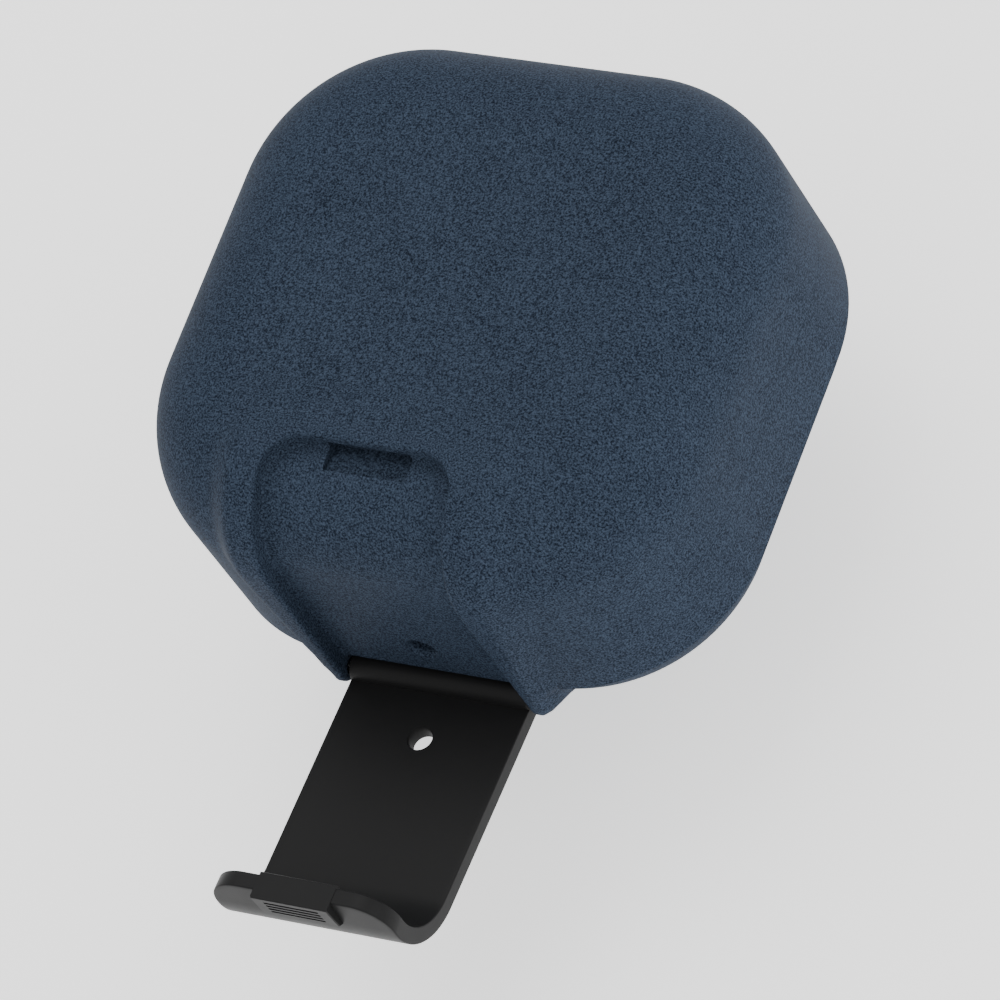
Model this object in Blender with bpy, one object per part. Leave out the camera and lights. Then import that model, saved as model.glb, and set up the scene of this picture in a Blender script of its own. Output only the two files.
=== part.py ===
"""Wireless earbuds charging case inside a two-part locking cover.

Frame: origin at the centre of the cover's flat underside, +Z up, the latch at -Y, +X to the right.
Every size below is in millimetres, and solid() turns it into metres.
At rest the lid is shut and the latch hangs open on its stop.
"""

import math

import bmesh
import bpy

MM = 0.001
CLEARANCE = 0.3

# The cover: a rounded square box, parted at its middle height.
COVER_HALF_WIDTH = 28.5
COVER_HALF_DEPTH = 27.85
COVER_HEIGHT = 34.8
CORNER_RADIUS = 17.6
TOP_ROUNDING = 11.0
BOTTOM_ROUNDING = 11.8
SEAM = COVER_HEIGHT / 2
COVER_WALL = 3.2
CORNER_STEPS = 12
CASE_CORNER_STEPS = 6

# The charging case that the cover holds.
CASE_HEIGHT = COVER_HEIGHT - 2 * (COVER_WALL + CLEARANCE)
CASE_HALF_WIDTH = 25.1
CASE_HALF_DEPTH = 24.8
CASE_CORNER = 14.2
CASE_ROUNDING = 8.0
CASE_WALL = 1.2
CASE_FLOOR = COVER_WALL + CLEARANCE

# The proud cowl round the latch recess, and the recess itself. The same side view gives
# the cowl's rim, the latch's outer face and, further in, the recess floor.
RIM_FRONT = -29.5
RIM_TOP = 35.3
RIM_ROUNDING = 10.0
COWL_FULL_X, COWL_END_X = 12.4, 16.4
EAR_FULL_X, EAR_END_X = 10.9, 12.8
EAR_LOW_Z, EAR_HIGH_Z = 4.0, 27.0
COWL_FULL_Y, COWL_END_Y = -18.0, -10.5
NOSE_TOP, NOSE_BOTTOM = 6.8, 3.9
RECESS_HALF_WIDTH = 10.05
RECESS_BACK = -18.3
RECESS_CORNER = 4.0
RECESS_DEPTH = 2.0

# The latch, its hinge and its catch.
LATCH_Y, LATCH_Z = -27.75, 6.2
LATCH_SWING = math.radians(85.5)
LATCH_HALF_WIDTH = 9.65
LATCH_THICKNESS = 1.65
LATCH_BEND, LATCH_TOP = 7.2, 35.6
LATCH_BACK = RECESS_BACK - 0.4
LATCH_BARREL = 1.55
LATCH_PIN_RADIUS = 0.65
LATCH_PIN_HALF_LENGTH, LATCH_BORE_HALF_LENGTH = 10.9, 11.2
TAB_HALF_WIDTH, TAB_HALF_DEPTH = 4.1, 1.0
TAB_PROUD, TAB_DROP = 0.9, 0.35
WINDOW_Z = 12.2
WINDOW_RADIUS = 1.3

# The lid's hinge, on the back face of the charging case.
HINGE_Y, HINGE_Z = CASE_HALF_DEPTH, SEAM
KNUCKLE_RADIUS = 1.15
KNUCKLE_SPLIT = 4.85
KNUCKLE_END = 13.0
HINGE_PIN_RADIUS = 0.5
BACK_WINDOW_HALF_WIDTH = 20.6

# Inside the charging case.
TRAY_TOP = SEAM - 0.6
TRAY_THICKNESS = 1.2
LINER_BOTTOM = SEAM + 0.5
LINER_THICKNESS = 1.0
BUD_X, WELL_Y = 11.2, 1.5
WELL_RADII = (9.8, 10.4, 6.6)
DOME_RADII = (9.8, 10.4, 8.7)
BOWL_WALL = 0.8
BUD_Y, BUD_Z = 3.2, 17.4
BUD_RADII = (8.4, 7.4, 7.0)
BOARD_BOTTOM, BOARD_THICKNESS = 6.9, 0.6
PORT_Z = 9.4
CHARGE_PIN_RADIUS = 0.5
SCREW_X, SCREW_YS = 20.3, (-8.0, 12.5)
MAGNET_X, MAGNET_Y = 17.0, -18.4


def clear_scene():
    for obj in list(bpy.data.objects):
        bpy.data.objects.remove(obj, do_unlink=True)


def material(name, colour, roughness, metallic=0.0):
    """A Principled material, made once and shared by name."""
    if name in bpy.data.materials:
        return bpy.data.materials[name]
    made = bpy.data.materials.new(name)
    made.use_nodes = True
    shader = made.node_tree.nodes["Principled BSDF"]
    shader.inputs["Base Color"].default_value = (*colour, 1.0)
    shader.inputs["Roughness"].default_value = roughness
    shader.inputs["Metallic"].default_value = metallic
    return made


def navy_shell():
    return material("navy_shell", (0.030, 0.050, 0.080), 0.62)


def black_latch():
    return material("black_latch", (0.012, 0.012, 0.013), 0.35)


def case_plastic():
    return material("case_plastic", (0.72, 0.72, 0.70), 0.30)


def liner_plastic():
    return material("liner_plastic", (0.55, 0.56, 0.56), 0.45)


def steel():
    return material("steel", (0.62, 0.62, 0.63), 0.25, 1.0)


def gold():
    return material("gold", (0.80, 0.58, 0.22), 0.25, 1.0)


def smooth(part):
    """0 below 0, 1 above 1, and an even slope's smooth step between."""
    part = min(max(part, 0.0), 1.0)
    return part * part * (3 - 2 * part)


def solid(name, rings, finish=None, pivot=None):
    """A closed body through rings of the same number of points, its two end rings filled flat."""
    centre = pivot["centre_mm"] if pivot else (0.0, 0.0, 0.0)
    mesh = bpy.data.meshes.new(name)
    work = bmesh.new()
    rows = [
        [work.verts.new([(value - middle) * MM for value, middle in zip(point, centre)]) for point in ring]
        for ring in rings
    ]
    for lower, upper in zip(rows, rows[1:]):
        for i in range(len(lower)):
            j = (i + 1) % len(lower)
            work.faces.new((lower[i], lower[j], upper[j], upper[i]))
    work.faces.new(list(reversed(rows[0])))
    work.faces.new(rows[-1])
    bmesh.ops.recalc_face_normals(work, faces=work.faces)
    work.to_mesh(mesh)
    work.free()
    mesh.shade_smooth()
    mesh.set_sharp_from_angle(angle=math.radians(35))
    obj = bpy.data.objects.new(name, mesh)
    bpy.context.scene.collection.objects.link(obj)
    if finish:
        mesh.materials.append(finish)
    if pivot:
        obj.parent = pivot
    return obj


def add_pivot(name, centre, turn=0.0):
    """An empty on a joint's axis, which runs along X. Its pieces are drawn before the turn."""
    pivot = bpy.data.objects.new(name, None)
    bpy.context.scene.collection.objects.link(pivot)
    pivot.location = [value * MM for value in centre]
    pivot.rotation_euler.x = turn
    pivot["centre_mm"] = centre
    return pivot


def shape_with(target, operation, *tools):
    """Booleans the tools into the target, and hides them."""
    for tool in tools:
        tool.hide_render = True
        tool.display_type = "WIRE"
        step = target.modifiers.new(tool.name, "BOOLEAN")
        step.operation = operation
        step.solver = "EXACT"
        step.object = tool


def rounded_ring(half_width, half_depth, radius, z, steps=CORNER_STEPS):
    """A rounded rectangle at height z, anticlockwise from its front right corner."""
    ring = []
    for corner, (side_x, side_y) in enumerate(((1, -1), (1, 1), (-1, 1), (-1, -1))):
        for step in range(steps + 1):
            angle = math.radians(90 * (corner - 1) + 90 * step / steps)
            x = side_x * (half_width - radius) + radius * math.cos(angle)
            y = side_y * (half_depth - radius) + radius * math.sin(angle)
            ring.append((x, y, z))
    return ring


def dish_rings(half_width, half_depth, corner, rounding, z_flat, z_rim, steps, corner_steps=CORNER_STEPS):
    """Rings from the flat middle of a dish, round its edge and along its wall to the rim."""
    towards = 1 if z_rim > z_flat else -1
    rings = []
    for step in range(steps + 1):
        angle = math.radians(90 * step / steps)
        inset = rounding * (1 - math.sin(angle))
        z = z_flat + towards * rounding * (1 - math.cos(angle))
        rings.append(rounded_ring(half_width - inset, half_depth - inset, corner - inset, z, corner_steps))
    rings.append(rounded_ring(half_width, half_depth, corner, z_rim, corner_steps))
    return rings


def slab(name, half_width, half_depth, radius, z_low, z_high, finish=None, pivot=None, at=(0, 0), steps=4):
    """A flat plate with rounded corners."""
    rings = [rounded_ring(half_width, half_depth, radius, z, steps) for z in (z_low, z_high)]
    rings = [[(x + at[0], y + at[1], z) for x, y, z in ring] for ring in rings]
    return solid(name, rings, finish, pivot)


def turned(name, axis, centre, profile, finish=None, pivot=None, sides=20):
    """A body of revolution. The profile lists (distance along the axis, radius) pairs."""
    rings = []
    for along, radius in profile:
        ring = []
        for side in range(sides):
            angle = 2 * math.pi * side / sides
            offset = [radius * math.cos(angle), radius * math.sin(angle)]
            offset.insert("xyz".index(axis), along)
            ring.append([c + o for c, o in zip(centre, offset)])
        rings.append(ring)
    return solid(name, rings, finish, pivot)


def rod(name, axis, centre, start, end, radius, finish=None, pivot=None, sides=16):
    return turned(name, axis, centre, ((start, radius), (end, radius)), finish, pivot, sides)


def ellipsoid(name, centre, radii, start, end, finish=None, pivot=None, sides=18, steps=8):
    """An upright ellipsoid between two latitudes in degrees, flat at both."""
    rings = []
    for step in range(steps + 1):
        latitude = math.radians(start + (end - start) * step / steps)
        ring = []
        for side in range(sides):
            angle = 2 * math.pi * side / sides
            ring.append((
                centre[0] + radii[0] * math.cos(latitude) * math.cos(angle),
                centre[1] + radii[1] * math.cos(latitude) * math.sin(angle),
                centre[2] + radii[2] * math.sin(latitude),
            ))
        rings.append(ring)
    return solid(name, rings, finish, pivot)


def across(name, outline, half_width, finish=None, pivot=None):
    """A side view of (y, z) points, drawn out to both sides along X."""
    rings = [[(x, y, z) for y, z in outline] for x in (-half_width, half_width)]
    return solid(name, rings, finish, pivot)


def rim_side_view(inset, z_low, y_back, rounding=RIM_ROUNDING, top=RIM_TOP, steps=12):
    """The cowl's side view, moved inwards: up the front, round the top edge and back to y_back."""
    centre_y, centre_z = RIM_FRONT + rounding, top - rounding
    radius = rounding - inset
    points = [(RIM_FRONT + inset, z_low)]
    for step in range(steps + 1):
        angle = math.radians(90 * step / steps)
        points.append((centre_y - radius * math.cos(angle), centre_z + radius * math.sin(angle)))
    points.append((y_back, top - inset))
    return points


def cowl_reach(y, z, slope):
    """How far the cowl's face stands out from the plain front at (y, z), along the slope's normal."""
    out_y, out_z = -math.cos(slope), math.sin(slope)
    to_front = (y - RIM_FRONT) / -out_y if out_y < -1e-6 else math.inf
    to_top = (RIM_TOP - z) / out_z if out_z > 1e-6 else math.inf
    reach = min(to_front, to_top)
    centre_y, centre_z = RIM_FRONT + RIM_ROUNDING, RIM_TOP - RIM_ROUNDING
    if y + reach * out_y < centre_y and z + reach * out_z > centre_z:
        along = (y - centre_y) * out_y + (z - centre_z) * out_z
        apart = (y - centre_y) ** 2 + (z - centre_z) ** 2
        reach = -along + math.sqrt(along * along - apart + RIM_ROUNDING**2)
    return reach


def nose(z):
    """The cowl's two ears end in a rounded nose under the latch hinge."""
    part = min(max((NOSE_TOP - z) / (NOSE_TOP - NOSE_BOTTOM), 0.0), 1.0)
    return math.sqrt(1 - part * part)


def cowl_side(x, z):
    """1 on the cowl's face, 0 beside it. The cowl narrows downwards to its two ears."""
    part = smooth((z - EAR_LOW_Z) / (EAR_HIGH_Z - EAR_LOW_Z))
    full = EAR_FULL_X + (COWL_FULL_X - EAR_FULL_X) * part
    end = EAR_END_X + (COWL_END_X - EAR_END_X) * part
    return 1 - smooth((abs(x) - full) / (end - full))


def with_cowl(rings, z_flat, rounding):
    """The cover's outer rings, their front points pushed out to make the cowl."""
    shaped = []
    for ring in rings:
        z = ring[0][2]
        front_y = min(point[1] for point in ring)
        rise = abs(z - (z_flat + math.copysign(rounding, SEAM - z_flat)))
        edge = z > SEAM and z_flat - z < rounding
        slope = math.asin(min(rise / rounding, 1.0)) if edge else 0.0
        reach = cowl_reach(front_y, z, slope) * nose(z)
        new = []
        for x, y, _ in ring:
            side = cowl_side(x, z)
            back = smooth((COWL_END_Y - y) / (COWL_END_Y - COWL_FULL_Y))
            push = reach * side * (back if z > SEAM else float(y < 0))
            new.append((x, y - push * math.cos(slope), z + push * math.sin(slope)))
        shaped.append(new)
    return shaped


def cover_inside(z_flat, z_rim):
    return dish_rings(
        CASE_HALF_WIDTH + CLEARANCE, CASE_HALF_DEPTH + CLEARANCE, CASE_CORNER + CLEARANCE,
        CASE_ROUNDING + CLEARANCE, z_flat, z_rim, 5,
    )


def recess_tool(name, pivot=None):
    """What the latch recess takes out: a round-cornered slot, down to the recess floor."""
    slot_half_depth = 15.0
    rings = [
        rounded_ring(RECESS_HALF_WIDTH, slot_half_depth, RECESS_CORNER, z, 6)
        for z in (-2.0, COVER_HEIGHT + 5)
    ]
    rings = [[(x, y + RECESS_BACK - slot_half_depth, z) for x, y, z in ring] for ring in rings]
    slot = solid(name, rings, pivot=pivot)
    pocket = LATCH_BARREL + CLEARANCE
    floor_y = RIM_FRONT + RECESS_DEPTH
    view = []
    for step in range(9):
        low = math.acos((floor_y - LATCH_Y) / pocket)
        angle = math.radians(-45) + (low - math.radians(-45)) * step / 8
        view.append((LATCH_Y + pocket * math.cos(angle), LATCH_Z + pocket * math.sin(angle)))
    view.insert(0, (view[0][0], -3.0))
    view += rim_side_view(RECESS_DEPTH, view[-1][1] + 0.5, RECESS_BACK + 2)
    view += [(0.0, view[-1][1]), (0.0, -3.0)]
    core = across(name + "_core", view, RECESS_HALF_WIDTH + 2, pivot=pivot)
    shape_with(slot, "DIFFERENCE", core)
    return slot


def add_base_shell():
    outer = dish_rings(
        COVER_HALF_WIDTH, COVER_HALF_DEPTH, CORNER_RADIUS, BOTTOM_ROUNDING, 0.0, SEAM - CLEARANCE / 2, 9
    )
    outer = with_cowl(outer, 0.0, BOTTOM_ROUNDING)
    inner = cover_inside(COVER_WALL, SEAM - CLEARANCE / 2)
    shell = solid("base_shell", outer + inner[::-1], navy_shell())
    pin_hole = LATCH_PIN_RADIUS + CLEARANCE
    shape_with(
        shell, "DIFFERENCE",
        recess_tool("base_recess"),
        rod("latch_pin_bore", "x", (0, LATCH_Y, LATCH_Z),
            -LATCH_BORE_HALF_LENGTH, LATCH_BORE_HALF_LENGTH, pin_hole),
        rod("light_window", "y", (0, 0, WINDOW_Z), RIM_FRONT - 1, -22.0, WINDOW_RADIUS),
        slab("back_window_low", BACK_WINDOW_HALF_WIDTH, 3.0, 0.5, SEAM - 4.0, SEAM + 1, at=(0, 27.2)),
        port_tool("cable_opening", 6.2, 3.4, 3.2, 21.0, 30.0),
    )


def add_lid_shell(pivot):
    outer = dish_rings(
        COVER_HALF_WIDTH, COVER_HALF_DEPTH, CORNER_RADIUS, TOP_ROUNDING,
        COVER_HEIGHT, SEAM + CLEARANCE / 2, 8,
    )
    middle = [
        rounded_ring(COVER_HALF_WIDTH - inset, COVER_HALF_DEPTH - inset, CORNER_RADIUS - inset, COVER_HEIGHT)
        for inset in (17.0, 15.0, 13.0)
    ]
    outer = with_cowl(middle + outer, COVER_HEIGHT, TOP_ROUNDING)
    inner = cover_inside(COVER_HEIGHT - COVER_WALL, SEAM + CLEARANCE / 2)
    shell = solid("lid_shell", outer + inner[::-1], navy_shell(), pivot)
    ceiling = COVER_HEIGHT - COVER_WALL
    notch_floor = RIM_TOP - 2.8
    shape_with(
        shell, "DIFFERENCE",
        recess_tool("lid_recess", pivot),
        slab("catch_notch", TAB_HALF_WIDTH + CLEARANCE, 1.5, 0.2, notch_floor, notch_floor + 1.7,
             pivot=pivot, at=(0, RECESS_BACK - 0.9)),
        slab("back_window_high", BACK_WINDOW_HALF_WIDTH, 3.0, 0.5, SEAM - 1, SEAM + 5.0,
             pivot=pivot, at=(0, 27.2)),
        *(
            slab(f"adhesive_pocket_{side}", 3.3, 13.3, 1.0, ceiling - 1, ceiling + 0.5,
                 pivot=pivot, at=(x, 0))
            for side, x in (("left", -11), ("right", 11))
        ),
    )
    for side, x in (("left", -11), ("right", 11)):
        slab(f"lid_adhesive_{side}", 3.0, 13.0, 0.8, ceiling, ceiling + 0.2,
             material("adhesive", (0.75, 0.74, 0.68), 0.7), pivot, at=(x, 0))


def port_tool(name, half_width, half_height, radius, y_start, y_end, at_z=PORT_Z):
    """A slot with round ends, along Y."""
    rings = []
    for y in (y_start, y_end):
        flat = rounded_ring(half_width, half_height, radius, y, 5)
        rings.append([(x, along, up + at_z) for x, up, along in flat])
    return solid(name, rings)


def add_latch(pivot):
    """The latch, drawn shut. Its pivot turns it open."""
    outer = rim_side_view(0.0, LATCH_Z, LATCH_BACK, LATCH_BEND, LATCH_TOP)
    inner = rim_side_view(LATCH_THICKNESS, LATCH_Z, LATCH_BACK, LATCH_BEND, LATCH_TOP)
    latch = across("latch", outer + inner[::-1], LATCH_HALF_WIDTH, black_latch(), pivot)
    plan_half_depth = 12.0
    plan = [
        [(x, y + LATCH_BACK - plan_half_depth, z)
         for x, y, z in rounded_ring(LATCH_HALF_WIDTH + 0.01, plan_half_depth, RECESS_CORNER - 0.3, z, 6)]
        for z in (0.0, LATCH_TOP + 3)
    ]
    trim = solid("latch_plan", plan, pivot=pivot)
    shape_with(latch, "INTERSECT", trim)
    centre = (0, LATCH_Y, LATCH_Z)
    tab_low = LATCH_TOP - LATCH_THICKNESS - TAB_DROP
    shape_with(
        latch, "UNION",
        rod("latch_barrel", "x", centre, -LATCH_HALF_WIDTH, LATCH_HALF_WIDTH, LATCH_BARREL, pivot=pivot),
        slab("latch_tab", TAB_HALF_WIDTH, TAB_HALF_DEPTH, 0.2, tab_low, LATCH_TOP + TAB_PROUD, pivot=pivot,
             at=(0, LATCH_BACK - TAB_HALF_DEPTH + 0.03)),
    )
    shape_with(
        latch, "DIFFERENCE",
        rod("latch_bore", "x", centre, -15, 15, LATCH_PIN_RADIUS + CLEARANCE, pivot=pivot),
        rod("latch_window", "y", (0, 0, WINDOW_Z), RIM_FRONT - 1, RIM_FRONT + 4, WINDOW_RADIUS, pivot=pivot),
    )


def case_rings(z_flat, z_rim):
    """The thin-walled dish that each half of the charging case is."""
    outer = dish_rings(
        CASE_HALF_WIDTH, CASE_HALF_DEPTH, CASE_CORNER, CASE_ROUNDING, z_flat, z_rim, 5, CASE_CORNER_STEPS
    )
    inner = dish_rings(
        CASE_HALF_WIDTH - CASE_WALL, CASE_HALF_DEPTH - CASE_WALL, CASE_CORNER - CASE_WALL,
        CASE_ROUNDING - CASE_WALL, z_flat + math.copysign(CASE_WALL, z_rim - z_flat), z_rim,
        4, CASE_CORNER_STEPS,
    )
    return outer + inner[::-1]


def add_case_base():
    base = solid("case_base", case_rings(CASE_FLOOR, SEAM - CLEARANCE / 2), case_plastic())
    hinge = (0, HINGE_Y, HINGE_Z)
    posts = [(x, y) for x in (-SCREW_X, SCREW_X) for y in SCREW_YS]
    screw_floor = 8.0
    shape_with(
        base, "UNION",
        rod("base_knuckle_left", "x", hinge, -KNUCKLE_END, -KNUCKLE_SPLIT, KNUCKLE_RADIUS),
        rod("base_knuckle_right", "x", hinge, KNUCKLE_SPLIT, KNUCKLE_END, KNUCKLE_RADIUS),
        *(
            rod(f"screw_post_{i}", "z", (x, y, 0), CASE_FLOOR + 1.9, TRAY_TOP - TRAY_THICKNESS - CLEARANCE,
                1.8, sides=12)
            for i, (x, y) in enumerate(posts)
        ),
    )
    shape_with(
        base, "DIFFERENCE",
        rod("lid_knuckle_room", "x", hinge, -KNUCKLE_SPLIT - 0.15, KNUCKLE_SPLIT + 0.15,
            KNUCKLE_RADIUS + CLEARANCE),
        rod("base_pin_bore", "x", hinge, -KNUCKLE_END - 1, KNUCKLE_END + 1, HINGE_PIN_RADIUS + CLEARANCE),
        rod("light_guide_bore", "y", (0, 0, WINDOW_Z), -27, -21, 1.3),
        port_tool("port_opening", 4.8, 1.9, 1.8, 22.0, 27.0),
        *(
            rod(f"screw_hole_{i}", "z", (x, y, 0), screw_floor, SEAM, 0.9, sides=12)
            for i, (x, y) in enumerate(posts)
        ),
    )


def add_case_lid(pivot):
    rings = case_rings(CASE_FLOOR + CASE_HEIGHT, SEAM + CLEARANCE / 2)
    lid = solid("case_lid", rings, case_plastic(), pivot)
    hinge = (0, HINGE_Y, HINGE_Z)
    room = KNUCKLE_RADIUS + CLEARANCE
    lid_end = KNUCKLE_SPLIT - CLEARANCE
    shape_with(lid, "UNION", rod("lid_knuckle", "x", hinge, -lid_end, lid_end, KNUCKLE_RADIUS, pivot=pivot))
    shape_with(
        lid, "DIFFERENCE",
        rod("knuckle_room_left", "x", hinge, -KNUCKLE_END - 0.3, -lid_end, room, pivot=pivot),
        rod("knuckle_room_right", "x", hinge, lid_end, KNUCKLE_END + 0.3, room, pivot=pivot),
        rod("lid_pin_bore", "x", hinge, -6, 6, HINGE_PIN_RADIUS + CLEARANCE, pivot=pivot),
    )


def add_lid_inside(pivot):
    liner = slab(
        "lid_liner", CASE_HALF_WIDTH - CASE_WALL - CLEARANCE, CASE_HALF_DEPTH - CASE_WALL - CLEARANCE,
        CASE_CORNER - CASE_WALL - CLEARANCE, LINER_BOTTOM, LINER_BOTTOM + LINER_THICKNESS,
        liner_plastic(), pivot, steps=6,
    )
    thick = [radius + BOWL_WALL for radius in DOME_RADII]
    for side, x in (("left", -BUD_X), ("right", BUD_X)):
        centre = (x, WELL_Y, LINER_BOTTOM + 0.3)
        shape_with(liner, "UNION", ellipsoid(f"dome_{side}", centre, thick, 0, 80, pivot=pivot, steps=6))
    for side, x in (("left", -BUD_X), ("right", BUD_X)):
        centre = (x, WELL_Y, LINER_BOTTOM)
        shape_with(liner, "DIFFERENCE",
                   ellipsoid(f"dome_room_{side}", centre, DOME_RADII, -20, 80, pivot=pivot, steps=8))
        magnet_x = math.copysign(MAGNET_X, x)
        bottom = LINER_BOTTOM + LINER_THICKNESS + CLEARANCE
        rod(f"lid_magnet_{side}", "z", (magnet_x, MAGNET_Y, bottom), 0, 2.4, 2.0, steel(), pivot)


def add_tray():
    tray = slab(
        "cradle_tray", CASE_HALF_WIDTH - CASE_WALL - CLEARANCE, CASE_HALF_DEPTH - CASE_WALL - CLEARANCE,
        CASE_CORNER - CASE_WALL - CLEARANCE, TRAY_TOP - TRAY_THICKNESS, TRAY_TOP, liner_plastic(), steps=6,
    )
    bowl_z = TRAY_TOP - 0.6
    thick = [radius + BOWL_WALL for radius in WELL_RADII]
    sides = (("left", -BUD_X), ("right", BUD_X))
    for side, x in sides:
        shape_with(tray, "UNION", ellipsoid(f"bowl_{side}", (x, WELL_Y, bowl_z), thick, -80, 0, steps=6))
    for side, x in sides:
        shape_with(
            tray, "DIFFERENCE",
            ellipsoid(f"well_{side}", (x, WELL_Y, bowl_z), WELL_RADII, -80, 20, steps=8),
            *(
                rod(f"pin_hole_{side}_{end}", "z", (x + step, 4.5, 0), 7, 14, CHARGE_PIN_RADIUS + CLEARANCE,
                    sides=10)
                for end, step in (("a", -2.0), ("b", 2.0))
            ),
        )
        for end, step in (("outer", math.copysign(2.0, x)), ("inner", -math.copysign(2.0, x))):
            rod(f"charge_pin_{side}_{end}", "z", (x + step, 4.5, 0), 8.2, 10.4, CHARGE_PIN_RADIUS, gold(),
                sides=10)
        magnet_x = math.copysign(MAGNET_X, x)
        top = TRAY_TOP - TRAY_THICKNESS - CLEARANCE
        rod(f"base_magnet_{side}", "z", (magnet_x, MAGNET_Y, top), -2.4, 0, 2.0, steel())
        for end, y in zip(("front", "back"), SCREW_YS):
            screw_x = math.copysign(SCREW_X, x)
            shape_with(
                tray, "DIFFERENCE",
                rod(f"head_room_{side}_{end}", "z", (screw_x, y, TRAY_TOP), -0.8, 1, 1.7, sides=12),
                rod(f"shank_room_{side}_{end}", "z", (screw_x, y, TRAY_TOP), -2, 1, 0.9, sides=12),
            )
            turned(f"tray_screw_{side}_{end}", "z", (screw_x, y, TRAY_TOP),
                   ((-6.0, 0.55), (-0.5, 0.55), (-0.5, 1.35), (-0.1, 1.2)), steel(), sides=12)


def add_electronics():
    coil = turned("charging_coil", "z", (0, 0, CASE_FLOOR + CASE_WALL + CLEARANCE),
                  ((0, 14.0), (0.9, 14.0)), material("copper", (0.72, 0.33, 0.16), 0.35, 1.0), sides=32)
    shape_with(coil, "DIFFERENCE", rod("coil_eye", "z", (0, 0, 4), 0, 4, 6.0, sides=32))
    turned("ferrite_sheet", "z", (0, 0, CASE_FLOOR + CASE_WALL + 1.5), ((0, 15.0), (0.4, 15.0)),
           material("ferrite", (0.05, 0.05, 0.055), 0.5), sides=32)
    slab("main_board", 16.5, 9.6, 6.0, BOARD_BOTTOM, BOARD_BOTTOM + BOARD_THICKNESS,
         material("board_green", (0.02, 0.14, 0.07), 0.45), at=(0, 11.7))
    slab("battery", 14.0, 5.5, 1.5, BOARD_BOTTOM, 13.0,
         material("battery_foil", (0.55, 0.56, 0.58), 0.4, 0.6), at=(0, -15.3))
    port = port_tool("usb_port", 4.45, 1.6, 1.5, 17.2, 24.5)
    port.data.materials.append(steel())
    shape_with(port, "DIFFERENCE", port_tool("port_mouth", 4.15, 1.3, 1.2, 18.4, 27.0))
    shape_with(port, "UNION", port_tool("port_tongue", 3.3, 0.35, 0.1, 18.0, 23.2))
    turned("light_guide", "y", (0, 0, WINDOW_Z), ((-24.7, 0.9), (-22.6, 0.9), (-22.4, 1.0), (-21.9, 1.0)),
           material("light_guide", (0.85, 0.90, 0.88), 0.15), sides=12)


def add_earbud(side, x):
    body = ellipsoid(f"bud_body_{side}", (x, BUD_Y, BUD_Z), BUD_RADII, -82, 68,
                     material("bud_gloss", (0.62, 0.62, 0.61), 0.18), sides=20, steps=9)
    shape_with(body, "UNION", rod(f"nozzle_{side}", "y", (x, 0, 17.0), -5.9, 1.0, 2.0))
    top = BUD_Z + BUD_RADII[2] * math.sin(math.radians(68)) + CLEARANCE
    turned(f"touch_cap_{side}", "z", (x, BUD_Y, top), ((0.0, 3.1), (0.35, 3.0), (0.6, 2.2)),
           material("touch_cap", (0.35, 0.35, 0.36), 0.12), sides=18)
    tip = turned(f"ear_tip_{side}", "y", (x, 0, 17.0),
                 ((-8.2, 1.5), (-7.6, 2.6), (-6.5, 3.3), (-5.5, 3.6), (-4.8, 3.6)),
                 material("silicone", (0.58, 0.58, 0.57), 0.6))
    shape_with(tip, "DIFFERENCE", turned(f"tip_bore_{side}", "y", (x, 0, 17.0),
                                         ((-9.5, 1.1), (-6.7, 1.1), (-6.3, 2.3), (-4.0, 2.3))))


def main():
    clear_scene()
    lid_pivot = add_pivot("lid_pivot", (0.0, HINGE_Y, HINGE_Z))
    latch_pivot = add_pivot("latch_pivot", (0.0, LATCH_Y, LATCH_Z), LATCH_SWING)
    add_base_shell()
    add_lid_shell(lid_pivot)
    add_latch(latch_pivot)
    rod("latch_pin", "x", (0, LATCH_Y, LATCH_Z), -LATCH_PIN_HALF_LENGTH, LATCH_PIN_HALF_LENGTH,
        LATCH_PIN_RADIUS, steel())
    add_case_base()
    add_case_lid(lid_pivot)
    rod("case_hinge_pin", "x", (0, HINGE_Y, HINGE_Z), -12.7, 12.7, HINGE_PIN_RADIUS, steel(), sides=12)
    add_lid_inside(lid_pivot)
    add_tray()
    add_electronics()
    for side, x in (("left", -BUD_X), ("right", BUD_X)):
        add_earbud(side, x)


main()
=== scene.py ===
"""Visual model of an earbuds charging case in a two-part locking cover, built round its CAD frame.

It is laid out as an add-on: each operator builds one group of pieces, and main() calls them in order.
Lengths in the geometry code are millimetres in the frame's axes: origin at the centre of the flat
underside, +Z up, the latch at -Y. hang() turns them into metres. The lid is shut and the latch is open.
"""

import math
from math import cos, sin

import bpy
from bpy.props import FloatProperty, IntProperty, PointerProperty
from mathutils import Matrix, Vector


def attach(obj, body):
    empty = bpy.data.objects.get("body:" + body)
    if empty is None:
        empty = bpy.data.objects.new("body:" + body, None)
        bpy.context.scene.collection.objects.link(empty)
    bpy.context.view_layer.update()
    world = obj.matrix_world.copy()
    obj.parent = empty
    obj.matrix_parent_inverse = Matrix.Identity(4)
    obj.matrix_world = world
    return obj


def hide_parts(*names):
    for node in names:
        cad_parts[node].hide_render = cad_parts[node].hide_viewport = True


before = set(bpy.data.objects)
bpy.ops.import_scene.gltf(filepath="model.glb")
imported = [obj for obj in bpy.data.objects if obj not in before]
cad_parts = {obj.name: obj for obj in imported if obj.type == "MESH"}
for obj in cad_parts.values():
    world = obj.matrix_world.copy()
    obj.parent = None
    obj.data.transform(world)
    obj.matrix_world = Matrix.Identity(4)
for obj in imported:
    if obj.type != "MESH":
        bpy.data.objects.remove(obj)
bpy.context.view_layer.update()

bl_info = {
    "name": "Earbuds Case Visual Model",
    "version": (1, 0, 0),
    "blender": (4, 5, 0),
    "location": "3D View > Sidebar > Earbuds Case",
    "description": "Builds the visible pieces of an earbuds case in a locking cover",
    "category": "Object",
}

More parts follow.
